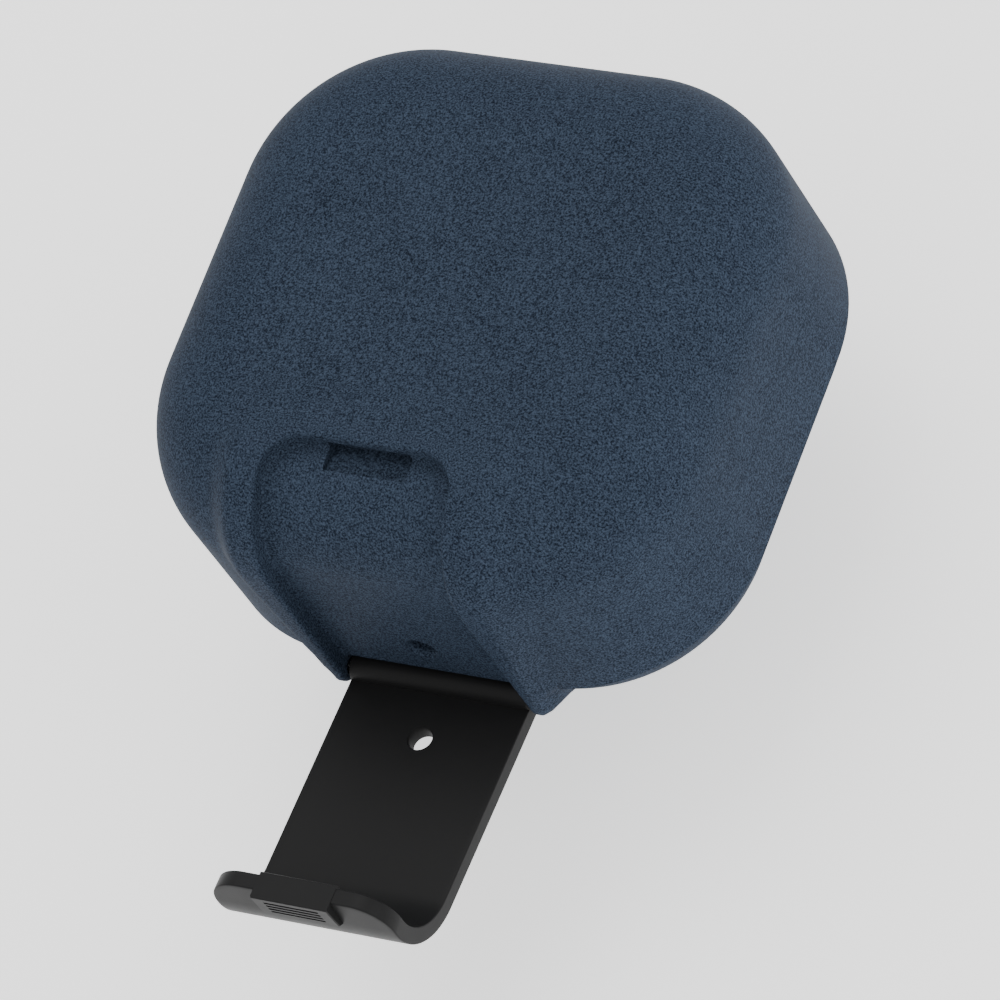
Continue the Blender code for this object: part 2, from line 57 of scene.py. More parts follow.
MM = 0.001
QUARTER = math.pi / 2
FULL_TURN = 4 * QUARTER
SHARP = math.radians(32)  # faces that meet at more than this show a hard edge
CLEARANCE = 0.3

# The cover: a rounded square box, parted at its middle height.
HALF_WIDTH, HALF_DEPTH, HEIGHT = 28.5, 27.85, 34.8
CORNER, TOP_ROUNDING, BOTTOM_ROUNDING = 17.6, 11.0, 11.8
SEAM = 17.4
FLAT_X, FLAT_Y = HALF_WIDTH - CORNER, HALF_DEPTH - CORNER
ARC = CORNER * QUARTER
INNER = (25.4, 25.1, 14.5)
INNER_ROUNDING, WALL = 8.3, 3.2
BACK_WINDOW_HALF, BACK_WINDOW_Y = 21.1, 27.2
STRIP_X = 11

# The cowl and the latch recess inside it.
RIM_FRONT, RIM_TOP, RIM_ROUNDING = -29.5, 35.3, 10.0
COWL_FULL_X, COWL_END_X = 12.4, 16.4
EAR_FULL_X, EAR_END_X = 10.9, 12.8
EAR_LOW_Z, EAR_HIGH_Z = 4.0, 27.0
COWL_FULL_Y, COWL_END_Y = -18.0, -10.5
NOSE_TOP, NOSE_BOTTOM = 6.8, 3.9
RECESS_HALF, RECESS_BACK, RECESS_CORNER, RECESS_DEPTH = 10.05, -18.3, 4.0, 2.0

# The latch, shut, and its hinge.
HINGE_Y, HINGE_Z = -27.75, 6.2
POCKET_RADIUS = 1.85
LATCH_SWING = math.radians(85.5)
LATCH_HALF, LATCH_THICKNESS, LATCH_CORNER, LATCH_BACK = 9.65, 1.65, 3.7, -18.7
LATCH_BEND, LATCH_TOP = 7.2, 35.6
LATCH_BARREL, TAB_HALF = 1.45, 4.1
LATCH_PIN, LATCH_PIN_HALF = 0.65, 10.9
WINDOW_Z, WINDOW_RADIUS = 12.2, 1.3

# The charging case and what it holds.
CASE = (25.1, 24.8, 14.2)
CASE_FLOOR, CASE_TOP, CASE_ROUNDING, CASE_WALL = 3.5, 31.3, 8.0, 1.2
LID_AXIS = (0, 24.8, 17.4)
KNUCKLE, KNUCKLE_SPLIT, KNUCKLE_END = 1.15, 4.85, 13.0
LID_PIN, LID_PIN_HALF = 0.5, 12.7
TRAY = (23.6, 23.3, 12.7)
TRAY_TOP, TRAY_BOTTOM, LINER_BOTTOM, LINER_TOP = 16.8, 15.6, 17.9, 18.9
WELL_Y, WELL_RADII, DOME_RADII = 1.5, (9.8, 10.4, 6.6), (9.8, 10.4, 8.2)
BUD_X, BUD_Y, BUD_Z, BUD_RADII = 11.2, 3.2, 17.4, (8.4, 7.4, 7.0)
NOZZLE_Z, PORT_Z = 17.0, 9.4
BOARD_BOTTOM, BOARD_TOP, BATTERY_TOP = 6.9, 7.5, 13.0
COIL_BOTTOM, COIL_INNER, COIL_OUTER = 5.0, 6.3, 13.7
CONTACT_Y, CONTACT_RADIUS = 4.5, 0.5
MAGNET_X, MAGNET_Y, MAGNET_RADIUS, MAGNET_LENGTH = 17.0, -18.4, 2.0, 2.4
SIDES = (("left", -1), ("right", 1))
ENDS = (("outer", 2.0), ("inner", -2.0))
SCREWS = (("left_front", -20.3, -8.0), ("left_back", -20.3, 12.5),
          ("right_front", 20.3, -8.0), ("right_back", 20.3, 12.5))


# ---- Small sums ------------------------------------------------------------------------------------

def smooth(part):
    part = min(max(part, 0.0), 1.0)
    return part * part * (3 - 2 * part)


def mix(a, b, part):
    return a + (b - a) * part


def spread(start, end, count):
    """count + 1 even values from start to end."""
    return [mix(start, end, i / count) for i in range(count + 1)]


# ---- Meshes ----------------------------------------------------------------------------------------

def hang(name, points, faces, finish=None):
    """An object at the origin whose mesh holds these points, given in millimetres."""
    mesh = bpy.data.meshes.new(name)
    mesh.from_pydata([Vector(p) * MM for p in points], [], faces)
    mesh.validate()
    obj = bpy.data.objects.new(name, mesh)
    bpy.context.scene.collection.objects.link(obj)
    if finish:
        mesh.materials.append(finish)
    mesh.shade_smooth()
    mesh.set_sharp_from_angle(angle=SHARP)
    return obj


def tube_faces(rows, columns):
    """Quads between rings that follow one another, and a flat face over each end."""
    faces = [list(range(columns))[::-1], list(range((rows - 1) * columns, rows * columns))]
    for row in range(rows - 1):
        for i in range(columns):
            j = (i + 1) % columns
            low, high = row * columns, (row + 1) * columns
            faces.append([low + i, low + j, high + j, high + i])
    return faces


def through(name, rings, finish=None):
    """A closed body through rings of the same number of points."""
    faces = tube_faces(len(rings), len(rings[0]))
    points = [p for ring in rings for p in ring]
    if volume(points, faces) < 0:
        faces = [face[::-1] for face in faces]
    return hang(name, points, faces, finish)


def volume(points, faces):
    """Six times what the faces enclose. It is below zero when they face inwards."""
    total = 0.0
    for face in faces:
        a = Vector(points[face[0]])
        for i in range(1, len(face) - 1):
            total += a.dot(Vector(points[face[i]]).cross(Vector(points[face[i + 1]])))
    return total


def bake(obj, sharp=None):
    """Replaces the mesh by what its modifiers make of it."""
    graph = bpy.context.evaluated_depsgraph_get()
    mesh = bpy.data.meshes.new_from_object(obj.evaluated_get(graph))
    obj.modifiers.clear()
    old, obj.data = obj.data, mesh
    bpy.data.meshes.remove(old)
    if sharp is not None:
        mesh.shade_smooth()
        mesh.set_sharp_from_angle(angle=sharp)
    return obj


def join_with(obj, operation, *tools):
    """Booleans the tools into obj and removes them."""
    for tool in tools:
        step = obj.modifiers.new(tool.name, "BOOLEAN")
        step.operation, step.solver, step.object = operation, "EXACT", tool
    bake(obj, SHARP)
    for tool in tools:
        bpy.data.objects.remove(tool, do_unlink=True)
    return obj


def even_normals(obj):
    """Flat areas keep their own direction next to narrow fillets."""
    step = obj.modifiers.new("Even normals", "WEIGHTED_NORMAL")
    step.mode, step.keep_sharp, step.weight = "FACE_AREA", True, 90
    return bake(obj)


def settle(obj, body, slot, *nodes):
    """The finished piece rides on its body and stands for these CAD nodes."""
    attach(obj, body)
    if nodes:
        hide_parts(*nodes)
    return obj


def rounded(half_x, half_y, radius, steps=6):
    """A rounded rectangle about the origin, anticlockwise."""
    ring = []
    for corner, (sx, sy) in enumerate(((1, -1), (1, 1), (-1, 1), (-1, -1))):
        for step in range(steps + 1):
            angle = QUARTER * (corner - 1 + step / steps)
            ring.append((sx * (half_x - radius) + radius * cos(angle),
                         sy * (half_y - radius) + radius * sin(angle)))
    return ring


def oval(x, y, z, wide, deep, sides):
    """A level ring."""
    turns = [FULL_TURN * i / sides for i in range(sides)]
    return [(x + wide * cos(t), y + deep * sin(t), z) for t in turns]


def place(across, up, along, axis):
    """A point given by its distance along an axis and across it."""
    return {"x": (along, across, up), "y": (across, along, up), "z": (across, up, along)}[axis]


def block(name, half_x, half_y, radius, levels, axis="z", at=(0, 0), steps=6):
    """A round-cornered bar along an axis. Each level is (distance along the axis, growth)."""
    rings = []
    for along, grow in levels:
        ring = rounded(half_x + grow, half_y + grow, max(radius + grow, 0.02), steps)
        rings.append([place(p + at[0], q + at[1], along, axis) for p, q in ring])
    return through(name, rings)


def eased(start, end, radius, steps=4):
    """Levels of a bar with both end edges rounded."""
    turn = math.copysign(radius, end - start)
    first = [(start + turn * (1 - sin(QUARTER * i / steps)), -radius * (1 - cos(QUARTER * i / steps)))
             for i in range(steps, -1, -1)]
    return first + [(start + end - along, grow) for along, grow in first[::-1]]


def turned(name, axis, centre, profile, sides=48):
    """A body of revolution. The profile lists (distance along the axis, radius) pairs."""
    rings = []
    for along, radius in profile:
        ring = []
        for side in range(sides):
            angle = FULL_TURN * side / sides
            p = place(radius * cos(angle), radius * sin(angle), along, axis)
            ring.append([c + o for c, o in zip(centre, p)])
        rings.append(ring)
    return through(name, rings)


# ---- The cover's skin ------------------------------------------------------------------------------

class Line:
    """One grid line that runs beside the recess wall.

    g orders the lines, at is its distance from the corner's centre, even the distance it returns to
    far from the recess. share and extra give the depth: share of the whole depth, plus extra.
    """

    def __init__(self, g, at, even, share, extra):
        self.g, self.at, self.even, self.share, self.extra = g, at, even, share, extra


def recess_lines(inner_fillet, outer_fillet, reach):
    """Lines from the corner's centre outwards: floor, inner fillet, wall, outer fillet, outside."""
    start, end = RECESS_CORNER - inner_fillet, RECESS_CORNER + outer_fillet
    section = []
    for i in range(1, 5):
        t = QUARTER * i / 4
        section.append((start + inner_fillet * sin(t), 1.0, -inner_fillet * (1 - cos(t))))
    for part in (1 / 3, 2 / 3):
        section.append((RECESS_CORNER, 1 - part, mix(-inner_fillet, outer_fillet, part)))
    for i in range(6):
        t = QUARTER * i / 5
        section.append((end - outer_fillet * cos(t), 0.0, outer_fillet * (1 - sin(t))))
    lines = [Line(p, p, p, 1.0, 0.0) for p in spread(0, start, 9)]
    stretch = 3.0
    for i, (at, share, extra) in enumerate(section):
        even = start + (end - start) * (i + 1) / len(section)
        lines.append(Line(start + stretch * (even - start), at, even, share, extra))
    shift = (stretch - 1) * (end - start)
    count = round((reach - end) / 0.42)
    lines += [Line(p + shift, p, p, 0.0, 0.0) for p in spread(end, reach, count)[1:]]
    return lines


def turn_corner(a, b):
    """Where lines a and b cross near the recess's round corner: two distances and the deciding line."""
    lead = a if a.g >= b.g else b
    if a.g <= 0 or b.g <= 0:
        return a.at, b.at, lead
    angle = QUARTER / 2 * min(a.g, b.g) / lead.g
    long, short = lead.at * cos(angle), lead.at * sin(angle)
    circle = (long, short) if lead is a else (short, long)
    part = 1 - smooth((lead.g - 6.4) / 3.2)
    return mix(a.even, circle[0], part), mix(b.even, circle[1], part), lead


def outline(u, half_width, half_depth, radius):
    """The point of a rounded rectangle at u, counted along the cover's own outline from its front."""
    side, a = math.copysign(1, u), abs(u)
    run_x, run_y = half_width - radius, half_depth - radius
    if a <= FLAT_X:
        return side * a * run_x / FLAT_X, -half_depth
    a -= FLAT_X
    if a <= ARC:
        t = a / CORNER
        return side * (run_x + radius * sin(t)), -run_y - radius * cos(t)
    a -= ARC
    if a <= 2 * FLAT_Y:
        return side * half_width, -run_y + a * run_y / FLAT_Y
    a -= 2 * FLAT_Y
    if a <= ARC:
        t = a / CORNER
        return side * (run_x + radius * cos(t)), run_y + radius * sin(t)
    a -= ARC
    return side * (run_x - a * run_x / FLAT_X), half_depth


def rim(v, bend=RIM_ROUNDING, top=RIM_TOP):
    """Side view of the cowl, v mm above the seam: (y, z) and the outward normal."""
    centre_y, centre_z = RIM_FRONT + bend, top - bend
    if v <= centre_z - SEAM:
        return (RIM_FRONT, SEAM + v), (-1.0, 0.0)
    t = (v - centre_z + SEAM) / bend
    if t <= QUARTER:
        n = (-cos(t), sin(t))
        return (centre_y + bend * n[0], centre_z + bend * n[1]), n
    return (centre_y + bend * (t - QUARTER), top), (0.0, 1.0)


def rim_length(y, bend=RIM_ROUNDING, top=RIM_TOP):
    """v at which the cowl's flat top passes y."""
    return top - bend - SEAM + bend * QUARTER + y - RIM_FRONT - bend


def cowl_side(x, z):
    """1 on the cowl's face, 0 beside it. The cowl narrows downwards to its two ears."""
    part = smooth((z - EAR_LOW_Z) / (EAR_HIGH_Z - EAR_LOW_Z))
    full, end = mix(EAR_FULL_X, COWL_FULL_X, part), mix(EAR_END_X, COWL_END_X, part)
    return 1 - smooth((abs(x) - full) / (end - full))


def plain_inset(z, rounding):
    """How far the plain body's side has drawn in at height z, on its bottom rounding."""
    rise = min(max((rounding - z) / rounding, 0.0), 1.0)
    return rounding * (1 - math.sqrt(1 - rise * rise))


def columns(lines):
    """Grid lines round the cover: (side, its Line). Those past the recess hold their outline place."""
    centre = RECESS_HALF - RECESS_CORNER
    front = [Line(p - centre, p - centre, p - centre, 1.0, 0.0) for p in spread(0, centre, 5)[:-1]] + lines
    far = front[-1].at + centre
    ends = (FLAT_X + ARC, FLAT_X + ARC + 2 * FLAT_Y, FLAT_X + 2 * ARC + 2 * FLAT_Y,
            2 * FLAT_X + 2 * ARC + 2 * FLAT_Y)
    shift = lines[-1].g - lines[-1].at
    for end, count in zip(ends, (34, 6, 36, 6)):
        for u in spread(far, end, count)[1:]:
            front.append(Line(u - centre + shift, u - centre, u - centre, 0.0, 0.0))
        far = end
    return [(1, line) for line in front] + [(-1, line) for line in front[-2:0:-1]]


class Row:
    """One ring of the skin: the plain body's inset and height, the cowl's point and the recess floor's."""

    def __init__(self, inset, z, cowl, floor):
        self.inset, self.z, self.cowl, self.floor = inset, z, cowl, floor


def skin_point(u, row, share, extra, fades_back):
    """The point of the cover's outside at u on this row, sunk towards the recess floor by share and extra."""
    x, y = outline(u, HALF_WIDTH - row.inset, HALF_DEPTH - row.inset, CORNER - row.inset)
    fade = cowl_side(x, row.z)
    fade *= smooth((COWL_END_Y - y) / (COWL_END_Y - COWL_FULL_Y)) if fades_back else float(y < 0)
    z = row.z + fade * (row.cowl[1] - row.z)
    y += fade * (row.cowl[0] - row.inset + HALF_DEPTH)
    deep = math.dist(row.cowl, row.floor)
    if (share or extra) and deep > 1e-6:
        part = (share * deep + extra * min(deep, 1.0)) / deep
        y += part * (row.floor[0] - row.cowl[0])
        z += part * (row.floor[1] - row.cowl[1])
    return x, y, z


def lid_row(v):
    """The lid's ring whose cowl point lies v mm above the seam, measured along the cowl."""
    (y, z), normal = rim(v)
    floor = (y - RECESS_DEPTH * normal[0], z - RECESS_DEPTH * normal[1])
    centre_y, centre_z = TOP_ROUNDING - HALF_DEPTH, HEIGHT - TOP_ROUNDING
    if z <= centre_z:
        return Row(0.0, z, (y, z), floor)
    if y >= centre_y:
        return Row(y + HALF_DEPTH, HEIGHT, (y, z), floor)
    t = math.atan2(z - centre_z, centre_y - y)
    return Row(TOP_ROUNDING * (1 - cos(t)), centre_z + TOP_ROUNDING * sin(t), (y, z), floor)


def lid_rings(lines, gap):
    """The lid's outside from the seam up, with the recess's round end."""
    centre = rim_length(RECESS_BACK) - RECESS_CORNER
    low = [Line(v - centre, v - centre, v - centre, 1.0, 0.0)
           for v in spread(gap, 7.9, 10)[:-1] + spread(7.9, centre, 26)[:-1]]
    last = rim_length(-HALF_DEPTH + 17) - centre
    high = [line for line in lines if line.at < last - 0.3]
    shift = lines[-1].g - lines[-1].at
    high += [Line(p + shift, p, p, 0.0, 0.0) for p in spread(high[-1].at, last, 6)[1:]]
    rings = []
    for b in low + high:
        ring = []
        for side, a in columns(lines):
            x, v, lead = turn_corner(a, b)
            u = side * (x + RECESS_HALF - RECESS_CORNER)
            ring.append(skin_point(u, lid_row(centre + v), lead.share, lead.extra, True))
        rings.append(ring)
    return rings


def base_rows(gap):
    """Rows from the seam down, round the ears' noses and the hinge pocket to the underside."""
    floor_y = RIM_FRONT + RECESS_DEPTH
    first = math.acos((floor_y - HINGE_Y) / POCKET_RADIUS)
    pocket_top = HINGE_Z + POCKET_RADIUS * sin(first)
    rows = [Row(0.0, z, (RIM_FRONT, z), (floor_y, z)) for z in spread(SEAM - gap, pocket_top, 12)[:-1]]

    def pocket(angle):
        return HINGE_Y + POCKET_RADIUS * cos(angle), HINGE_Z + POCKET_RADIUS * sin(angle)

    def body(z):
        return plain_inset(z, BOTTOM_ROUNDING) - HALF_DEPTH, z

    low, high = -1.2, 0.0
    for _ in range(30):  # the angle at which the pocket runs out through the plain body
        middle = (low + high) / 2
        y, z = pocket(middle)
        low, high = (low, middle) if y > body(z)[0] else (middle, high)
    exit_z = pocket(low)[1]
    floors = [pocket(angle) for angle in spread(first, low, 18)]
    floors += [body(z) for z in spread(exit_z, NOSE_BOTTOM, 12)[1:]]
    count = len(floors) - 1
    walls = [(RIM_FRONT, z) for z in spread(pocket_top, NOSE_TOP, 6)[:-1]]
    for t in spread(0, QUARTER, count - len(walls)):
        z = NOSE_TOP - (NOSE_TOP - NOSE_BOTTOM) * sin(t)
        y = body(z)[0]
        walls.append((y - (y - RIM_FRONT) * cos(t), z))
    for cowl, floor in zip(walls, floors):
        rows.append(Row(plain_inset(cowl[1], BOTTOM_ROUNDING), cowl[1], cowl, floor))
    turn = math.asin((BOTTOM_ROUNDING - NOSE_BOTTOM) / BOTTOM_ROUNDING)
    for t in spread(turn, QUARTER, 14)[1:]:
        inset, z = BOTTOM_ROUNDING * (1 - cos(t)), BOTTOM_ROUNDING * (1 - sin(t))
        rows.append(Row(inset, z, (inset - HALF_DEPTH, z), (inset - HALF_DEPTH, z)))
    rows.append(Row(15.0, 0.0, (15.0 - HALF_DEPTH, 0.0), (15.0 - HALF_DEPTH, 0.0)))
    return rows


def base_rings(lines, gap):
    """The base's outside from the seam down. Where the recess runs out, its lines close up evenly."""
    rings = []
    for row in base_rows(gap):
        ring = []
        for side, a in columns(lines):
            u = side * (a.at + RECESS_HALF - RECESS_CORNER)
            if math.dist(row.cowl, row.floor) < 0.6:
                part = math.dist(row.cowl, row.floor) / 0.6
                u = side * (mix(a.even, a.at, part) + RECESS_HALF - RECESS_CORNER)
            ring.append(skin_point(u, row, a.share, a.extra, False))
        rings.append(ring)
    return rings


def inside_rings(lines, gap_z, flat_z):
    """The cover's inside, from its flat ceiling or floor out to the seam."""
    towards = math.copysign(1, gap_z - flat_z)
    levels = []
    for t in spread(0, QUARTER, 10):
        levels.append((INNER_ROUNDING * (1 - sin(t)),
                       flat_z + towards * INNER_ROUNDING * (1 - cos(t))))
    levels.append((0.0, gap_z))
    rings = []
    for inset, z in levels:
        ring = []
        for side, a in columns(lines):
            u = side * (a.even + RECESS_HALF - RECESS_CORNER)
            ring.append((*outline(u, INNER[0] - inset, INNER[1] - inset, INNER[2] - inset), z))
        rings.append(ring)
    return rings


# ---- The latch -------------------------------------------------------------------------------------

LATCH_END = rim_length(LATCH_BACK, LATCH_BEND, LATCH_TOP)


def on_latch(x, v, depth):
    """A point of the shut latch: x across, v along its outer face, depth below that face."""
    (y, z), normal = rim(v, LATCH_BEND, LATCH_TOP)
    return x, y - depth * normal[0], z - depth * normal[1]


def bent_bar(name, half_x, vs, depths):
    """A bar across the latch, between two places along it and two depths."""
    low, high = depths
    section = ((-half_x, high), (half_x, high), (half_x, low), (-half_x, low))
    return through(name, [[on_latch(x, v, depth) for x, depth in section] for v in vs])


def latch_plate(edge):
    """The bent strip with round plan corners at its free end and all its edges rounded."""
    centre_x, centre_v = LATCH_HALF - LATCH_CORNER, LATCH_END - LATCH_CORNER
    inner = LATCH_CORNER - edge
    xs = spread(-centre_x, 0, 5)[:-1] + spread(0, inner, 9)
    across = [(-1, p) for p in xs[:0:-1]] + [(1, p) for p in xs]
    hinge_v = HINGE_Z - SEAM
    along = [v - centre_v for v in spread(hinge_v, 7.9, 20)[:-1] + spread(7.9, centre_v, 24)[:-1]]
    along += spread(0, inner, 9)

    def corner(p, q, grow=0.0):
        """Where grid lines p and q cross, and, on the boundary, moved outwards by grow."""
        if q <= 0 or p <= 0:
            return (p + grow * (p >= inner), q + grow * (q >= inner and p <= 0))
        lead = max(p, q)
        angle = QUARTER / 2 * min(p, q) / lead
        long, short = (lead + grow) * cos(angle), (lead + grow) * sin(angle)
        return (long, short) if p >= q else (short, long)

    points, faces = [], []

    def add(side, p, q, depth, grow=0.0):
        x, v = corner(p, q, grow)
        points.append(on_latch(side * (x + centre_x), v + centre_v, depth))
        return len(points) - 1

    sheets = []
    for depth in (0.0, LATCH_THICKNESS):
        sheets.append([[add(side, p, q, depth) for side, p in across] for q in along])
    top, bottom = sheets
    wide, long = len(across), len(along)
    for r in range(long - 1):
        for c in range(wide - 1):
            faces.append([top[r][c], top[r][c + 1], top[r + 1][c + 1], top[r + 1][c]])
            faces.append([bottom[r][c], bottom[r + 1][c], bottom[r + 1][c + 1], bottom[r][c + 1]])
    border = [(r, wide - 1) for r in range(long)] + [(long - 1, c) for c in range(wide - 2, -1, -1)]
    border += [(r, 0) for r in range(long - 2, -1, -1)]
    profile = [(edge * sin(t), edge * (1 - cos(t))) for t in spread(0, QUARTER, 4)[1:]]
    profile += [(grow, LATCH_THICKNESS - depth) for grow, depth in profile[::-1]]
    chains = [[top[r][c] for r, c in border]]
    for grow, depth in profile:
        chains.append([add(*across[c], along[r], depth, grow) for r, c in border])
    chains.append([bottom[r][c] for r, c in border])
    for upper, lower in zip(chains, chains[1:]):
        for i in range(len(border) - 1):
            faces.append([upper[i], lower[i], lower[i + 1], upper[i + 1]])
    end = [chain[0] for chain in chains] + bottom[0][::-1][1:-1] + [chain[-1] for chain in chains[::-1]]
    faces.append(end + top[0][1:-1])
    if volume(points, faces) < 0:
        faces = [face[::-1] for face in faces]
    return hang("latch_visual", points, faces)


def latch_tab(ease):
    """The tab at the latch's free end: it stands proud outside, and a little inside."""
    half, narrow, rings = TAB_HALF, TAB_HALF - ease, []
    for back, proud, inner in ((3.7, -0.1, 1.0), (3.2, 0.55, 1.0), (2.0, 0.7, 1.0),
                               (1.95, 0.7, LATCH_THICKNESS + 0.2), (0.05, 0.9, LATCH_THICKNESS + 0.3),
                               (-0.05, 0.82, LATCH_THICKNESS + 0.22)):
        section = ((-half, inner), (half, inner), (half, ease - proud), (narrow, -proud),
                   (-narrow, -proud), (-half, ease - proud))
        rings.append([on_latch(x, LATCH_END - back, depth) for x, depth in section])
    return through("tab", rings)


def swing_open(obj):
    """Turns a piece drawn shut to where the latch hangs at rest."""
    pivot = Vector((0, HINGE_Y, HINGE_Z)) * MM
    turn = Matrix.Translation(pivot) @ Matrix.Rotation(LATCH_SWING, 4, "X") @ Matrix.Translation(-pivot)
    obj.data.transform(turn)
    return obj


# ---- Materials -------------------------------------------------------------------------------------

class Wire:
    """A shader socket that takes part in sums."""

    def __init__(self, tree, socket):
        self.tree, self.socket = tree, socket

    def sum(self, operation, first, second=None, clamp=False):
        node = self.tree.nodes.new("ShaderNodeMath")
        node.operation, node.use_clamp = operation, clamp
        for index, value in enumerate((first, second)):
            if isinstance(value, Wire):
                self.tree.links.new(value.socket, node.inputs[index])
            elif value is not None:
                node.inputs[index].default_value = value
        return Wire(self.tree, node.outputs[0])

    def __add__(self, other):
        return self.sum("ADD", self, other)

    def __sub__(self, other):
        return self.sum("SUBTRACT", self, other)

    def __rsub__(self, other):
        return self.sum("SUBTRACT", other, self)

    def __mul__(self, other):
        return self.sum("MULTIPLY", self, other)

    __radd__, __rmul__ = __add__, __mul__

    def clamped(self):
        return self.sum("ADD", self, 0.0, clamp=True)


class Graph:
    """Short ways to add nodes to a tree."""

    def __init__(self, tree):
        self.tree = tree

    def node(self, kind, inputs=(), output=0, **settings):
        """Any node: its settings, its inputs by name or number, and one output as a Wire."""
        made = self.tree.nodes.new(kind)
        for key, value in settings.items():
            setattr(made, key, value)
        for key, value in dict(inputs).items():
            self.feed(made.inputs[key], value)
        return Wire(self.tree, made.outputs[output])

    def feed(self, socket, value):
        if isinstance(value, Wire):
            self.tree.links.new(value.socket, socket)
        elif isinstance(value, tuple) and len(value) == 3 and socket.type == "RGBA":
            socket.default_value = (*value, 1.0)
        else:
            socket.default_value = value


class Finish(Graph):
    """One Principled material and the nodes that feed it."""

    def __init__(self, name):
        self.material = bpy.data.materials.new(name)
        self.material.use_nodes = True
        super().__init__(self.material.node_tree)
        self.shader = self.tree.nodes["Principled BSDF"]

    def set(self, **values):
        for key, value in values.items():
            self.feed(self.shader.inputs[key.replace("_", " ")], value)

    def place(self):
        """Object coordinates in millimetres."""
        where = self.node("ShaderNodeTexCoord", output="Object")
        return self.node("ShaderNodeVectorMath", {0: where, "Scale": 1 / MM}, operation="SCALE")

    def noise(self, where, scale, detail, roughness):
        return self.node("ShaderNodeTexNoise", {"Vector": where, "Scale": scale, "Detail": detail,
                                                "Roughness": roughness})

    def colours(self, part, low, high):
        return self.node("ShaderNodeMix", {0: part, "A": low, "B": high}, output="Result",
                         data_type="RGBA")

    def bump(self, height, distance):
        return self.node("ShaderNodeBump", {"Height": height, "Distance": distance * MM, "Strength": 1.0})


def grained(name, low, high, size, depth, roughness, **constants):
    """Moulded plastic with a blasted grain: speckled colour, uneven gloss and a fine relief."""
    made = Finish(name)
    where = made.place()
    grain = made.noise(where, 1 / size, 3.0, 0.6)
    broad = made.noise(where, 0.12, 2.0, 0.5)
    speckle = ((grain - 0.5) * 3.6 + 0.47).clamped()
    tone = (speckle * 0.85 + broad * 0.15).clamped()
    made.set(Base_Color=made.colours(tone, low, high),
             Roughness=(roughness + (grain - 0.5) * 0.25).clamped(),
             Normal=made.bump(grain, depth), **constants)
    return made.material


def plain_finish(name, colour, roughness, metallic=0.0, wear=0.06, scale=0.35, relief=0.004, **constants):
    """Smooth moulded or rolled material with a slight cloud in colour and gloss."""
    made = Finish(name)
    where = made.place()
    cloud = made.noise(where, scale, 4.0, 0.55)
    fine = made.noise(where, 9.0, 2.0, 0.5)
    dark = tuple(c * (1 - 2 * wear) for c in colour)
    made.set(Base_Color=made.colours(cloud, dark, colour), Metallic=metallic,
             Roughness=(roughness + (cloud - 0.5) * 2 * wear).clamped(),
             Normal=made.bump(fine, relief), **constants)
    return made.material


FINISHES = {
    "steel": ("Steel", (0.60, 0.60, 0.62), 0.28, 1.0, {}),
    "case_plastic": ("White case plastic", (0.70, 0.70, 0.68), 0.25, 0.0, {"wear": 0.02}),
    "liner_plastic": ("Grey liner plastic", (0.20, 0.205, 0.21), 0.42, 0.0, {"relief": 0.008}),
    "gold": ("Gold plate", (0.80, 0.58, 0.22), 0.25, 1.0, {}),
    "adhesive": ("Adhesive strip", (0.75, 0.74, 0.68), 0.7, 0.0, {"relief": 0.02}),
    "copper": ("Enamelled copper", (0.72, 0.33, 0.16), 0.35, 1.0, {"wear": 0.1}),
    "ferrite": ("Ferrite sheet", (0.05, 0.05, 0.055), 0.5, 0.0, {}),
    "board": ("Solder mask", (0.02, 0.14, 0.07), 0.35, 0.0, {"wear": 0.1}),
    "battery_foil": ("Battery foil", (0.55, 0.56, 0.58), 0.4, 0.6, {"wear": 0.12, "relief": 0.03}),
    "light_guide": ("Light guide", (0.85, 0.90, 0.88), 0.15, 0.0, {"Transmission_Weight": 0.6}),
    "bud_gloss": ("Gloss white plastic", (0.62, 0.62, 0.61), 0.12, 0.0,
                  {"wear": 0.02, "relief": 0.0, "Coat_Weight": 0.5}),
    "touch_cap": ("Touch cap", (0.35, 0.35, 0.36), 0.12, 0.0, {"wear": 0.02, "relief": 0.0}),
    "silicone": ("Silicone", (0.58, 0.58, 0.57), 0.6, 0.0, {"Subsurface_Weight": 0.15}),
}


def finish(slot):
    """The material of a slot, made on first use."""
    name, colour, roughness, metallic, more = FINISHES[slot]
    return bpy.data.materials.get(name) or plain_finish(name, colour, roughness, metallic, **more)


def dress(obj, body, slot, *nodes):
    """Gives a finished piece its slot's material and its place in the frame."""
    obj.data.materials.clear()
    obj.data.materials.append(finish(slot))
    return settle(obj, body, slot, *nodes)


class Generator(Graph):
    """A Geometry Nodes group with named inputs, turned into a plain mesh."""

    def __init__(self, name, slot, **inputs):
        super().__init__(bpy.data.node_groups.new(name, "GeometryNodeTree"))
        self.tree.interface.new_socket("Geometry", in_out="OUTPUT", socket_type="NodeSocketGeometry")
        self.entry = self.tree.nodes.new("NodeGroupInput")
        self.values = {}
        for key, value in dict(inputs, material=finish(slot)).items():
            kind = {int: "Int", float: "Float"}.get(type(value), "Material")
            socket = self.tree.interface.new_socket(key, in_out="INPUT", socket_type="NodeSocket" + kind)
            self.values[socket.identifier] = value

    def given(self, key):
        return Wire(self.tree, self.entry.outputs[key])

    def mesh(self, name, geometry):
        real = self.node("GeometryNodeRealizeInstances", {"Geometry": geometry})
        done = self.node("GeometryNodeSetMaterial", {"Geometry": real, "Material": self.given("material")})
        self.feed(self.tree.nodes.new("NodeGroupOutput").inputs["Geometry"], done)
        obj = hang(name, [(0, 0, 0)], [])
        step = obj.modifiers.new(name, "NODES")
        step.node_group = self.tree
        for identifier, value in self.values.items():
            step[identifier] = value
        return bake(obj, SHARP)


# ---- The charging case -----------------------------------------------------------------------------

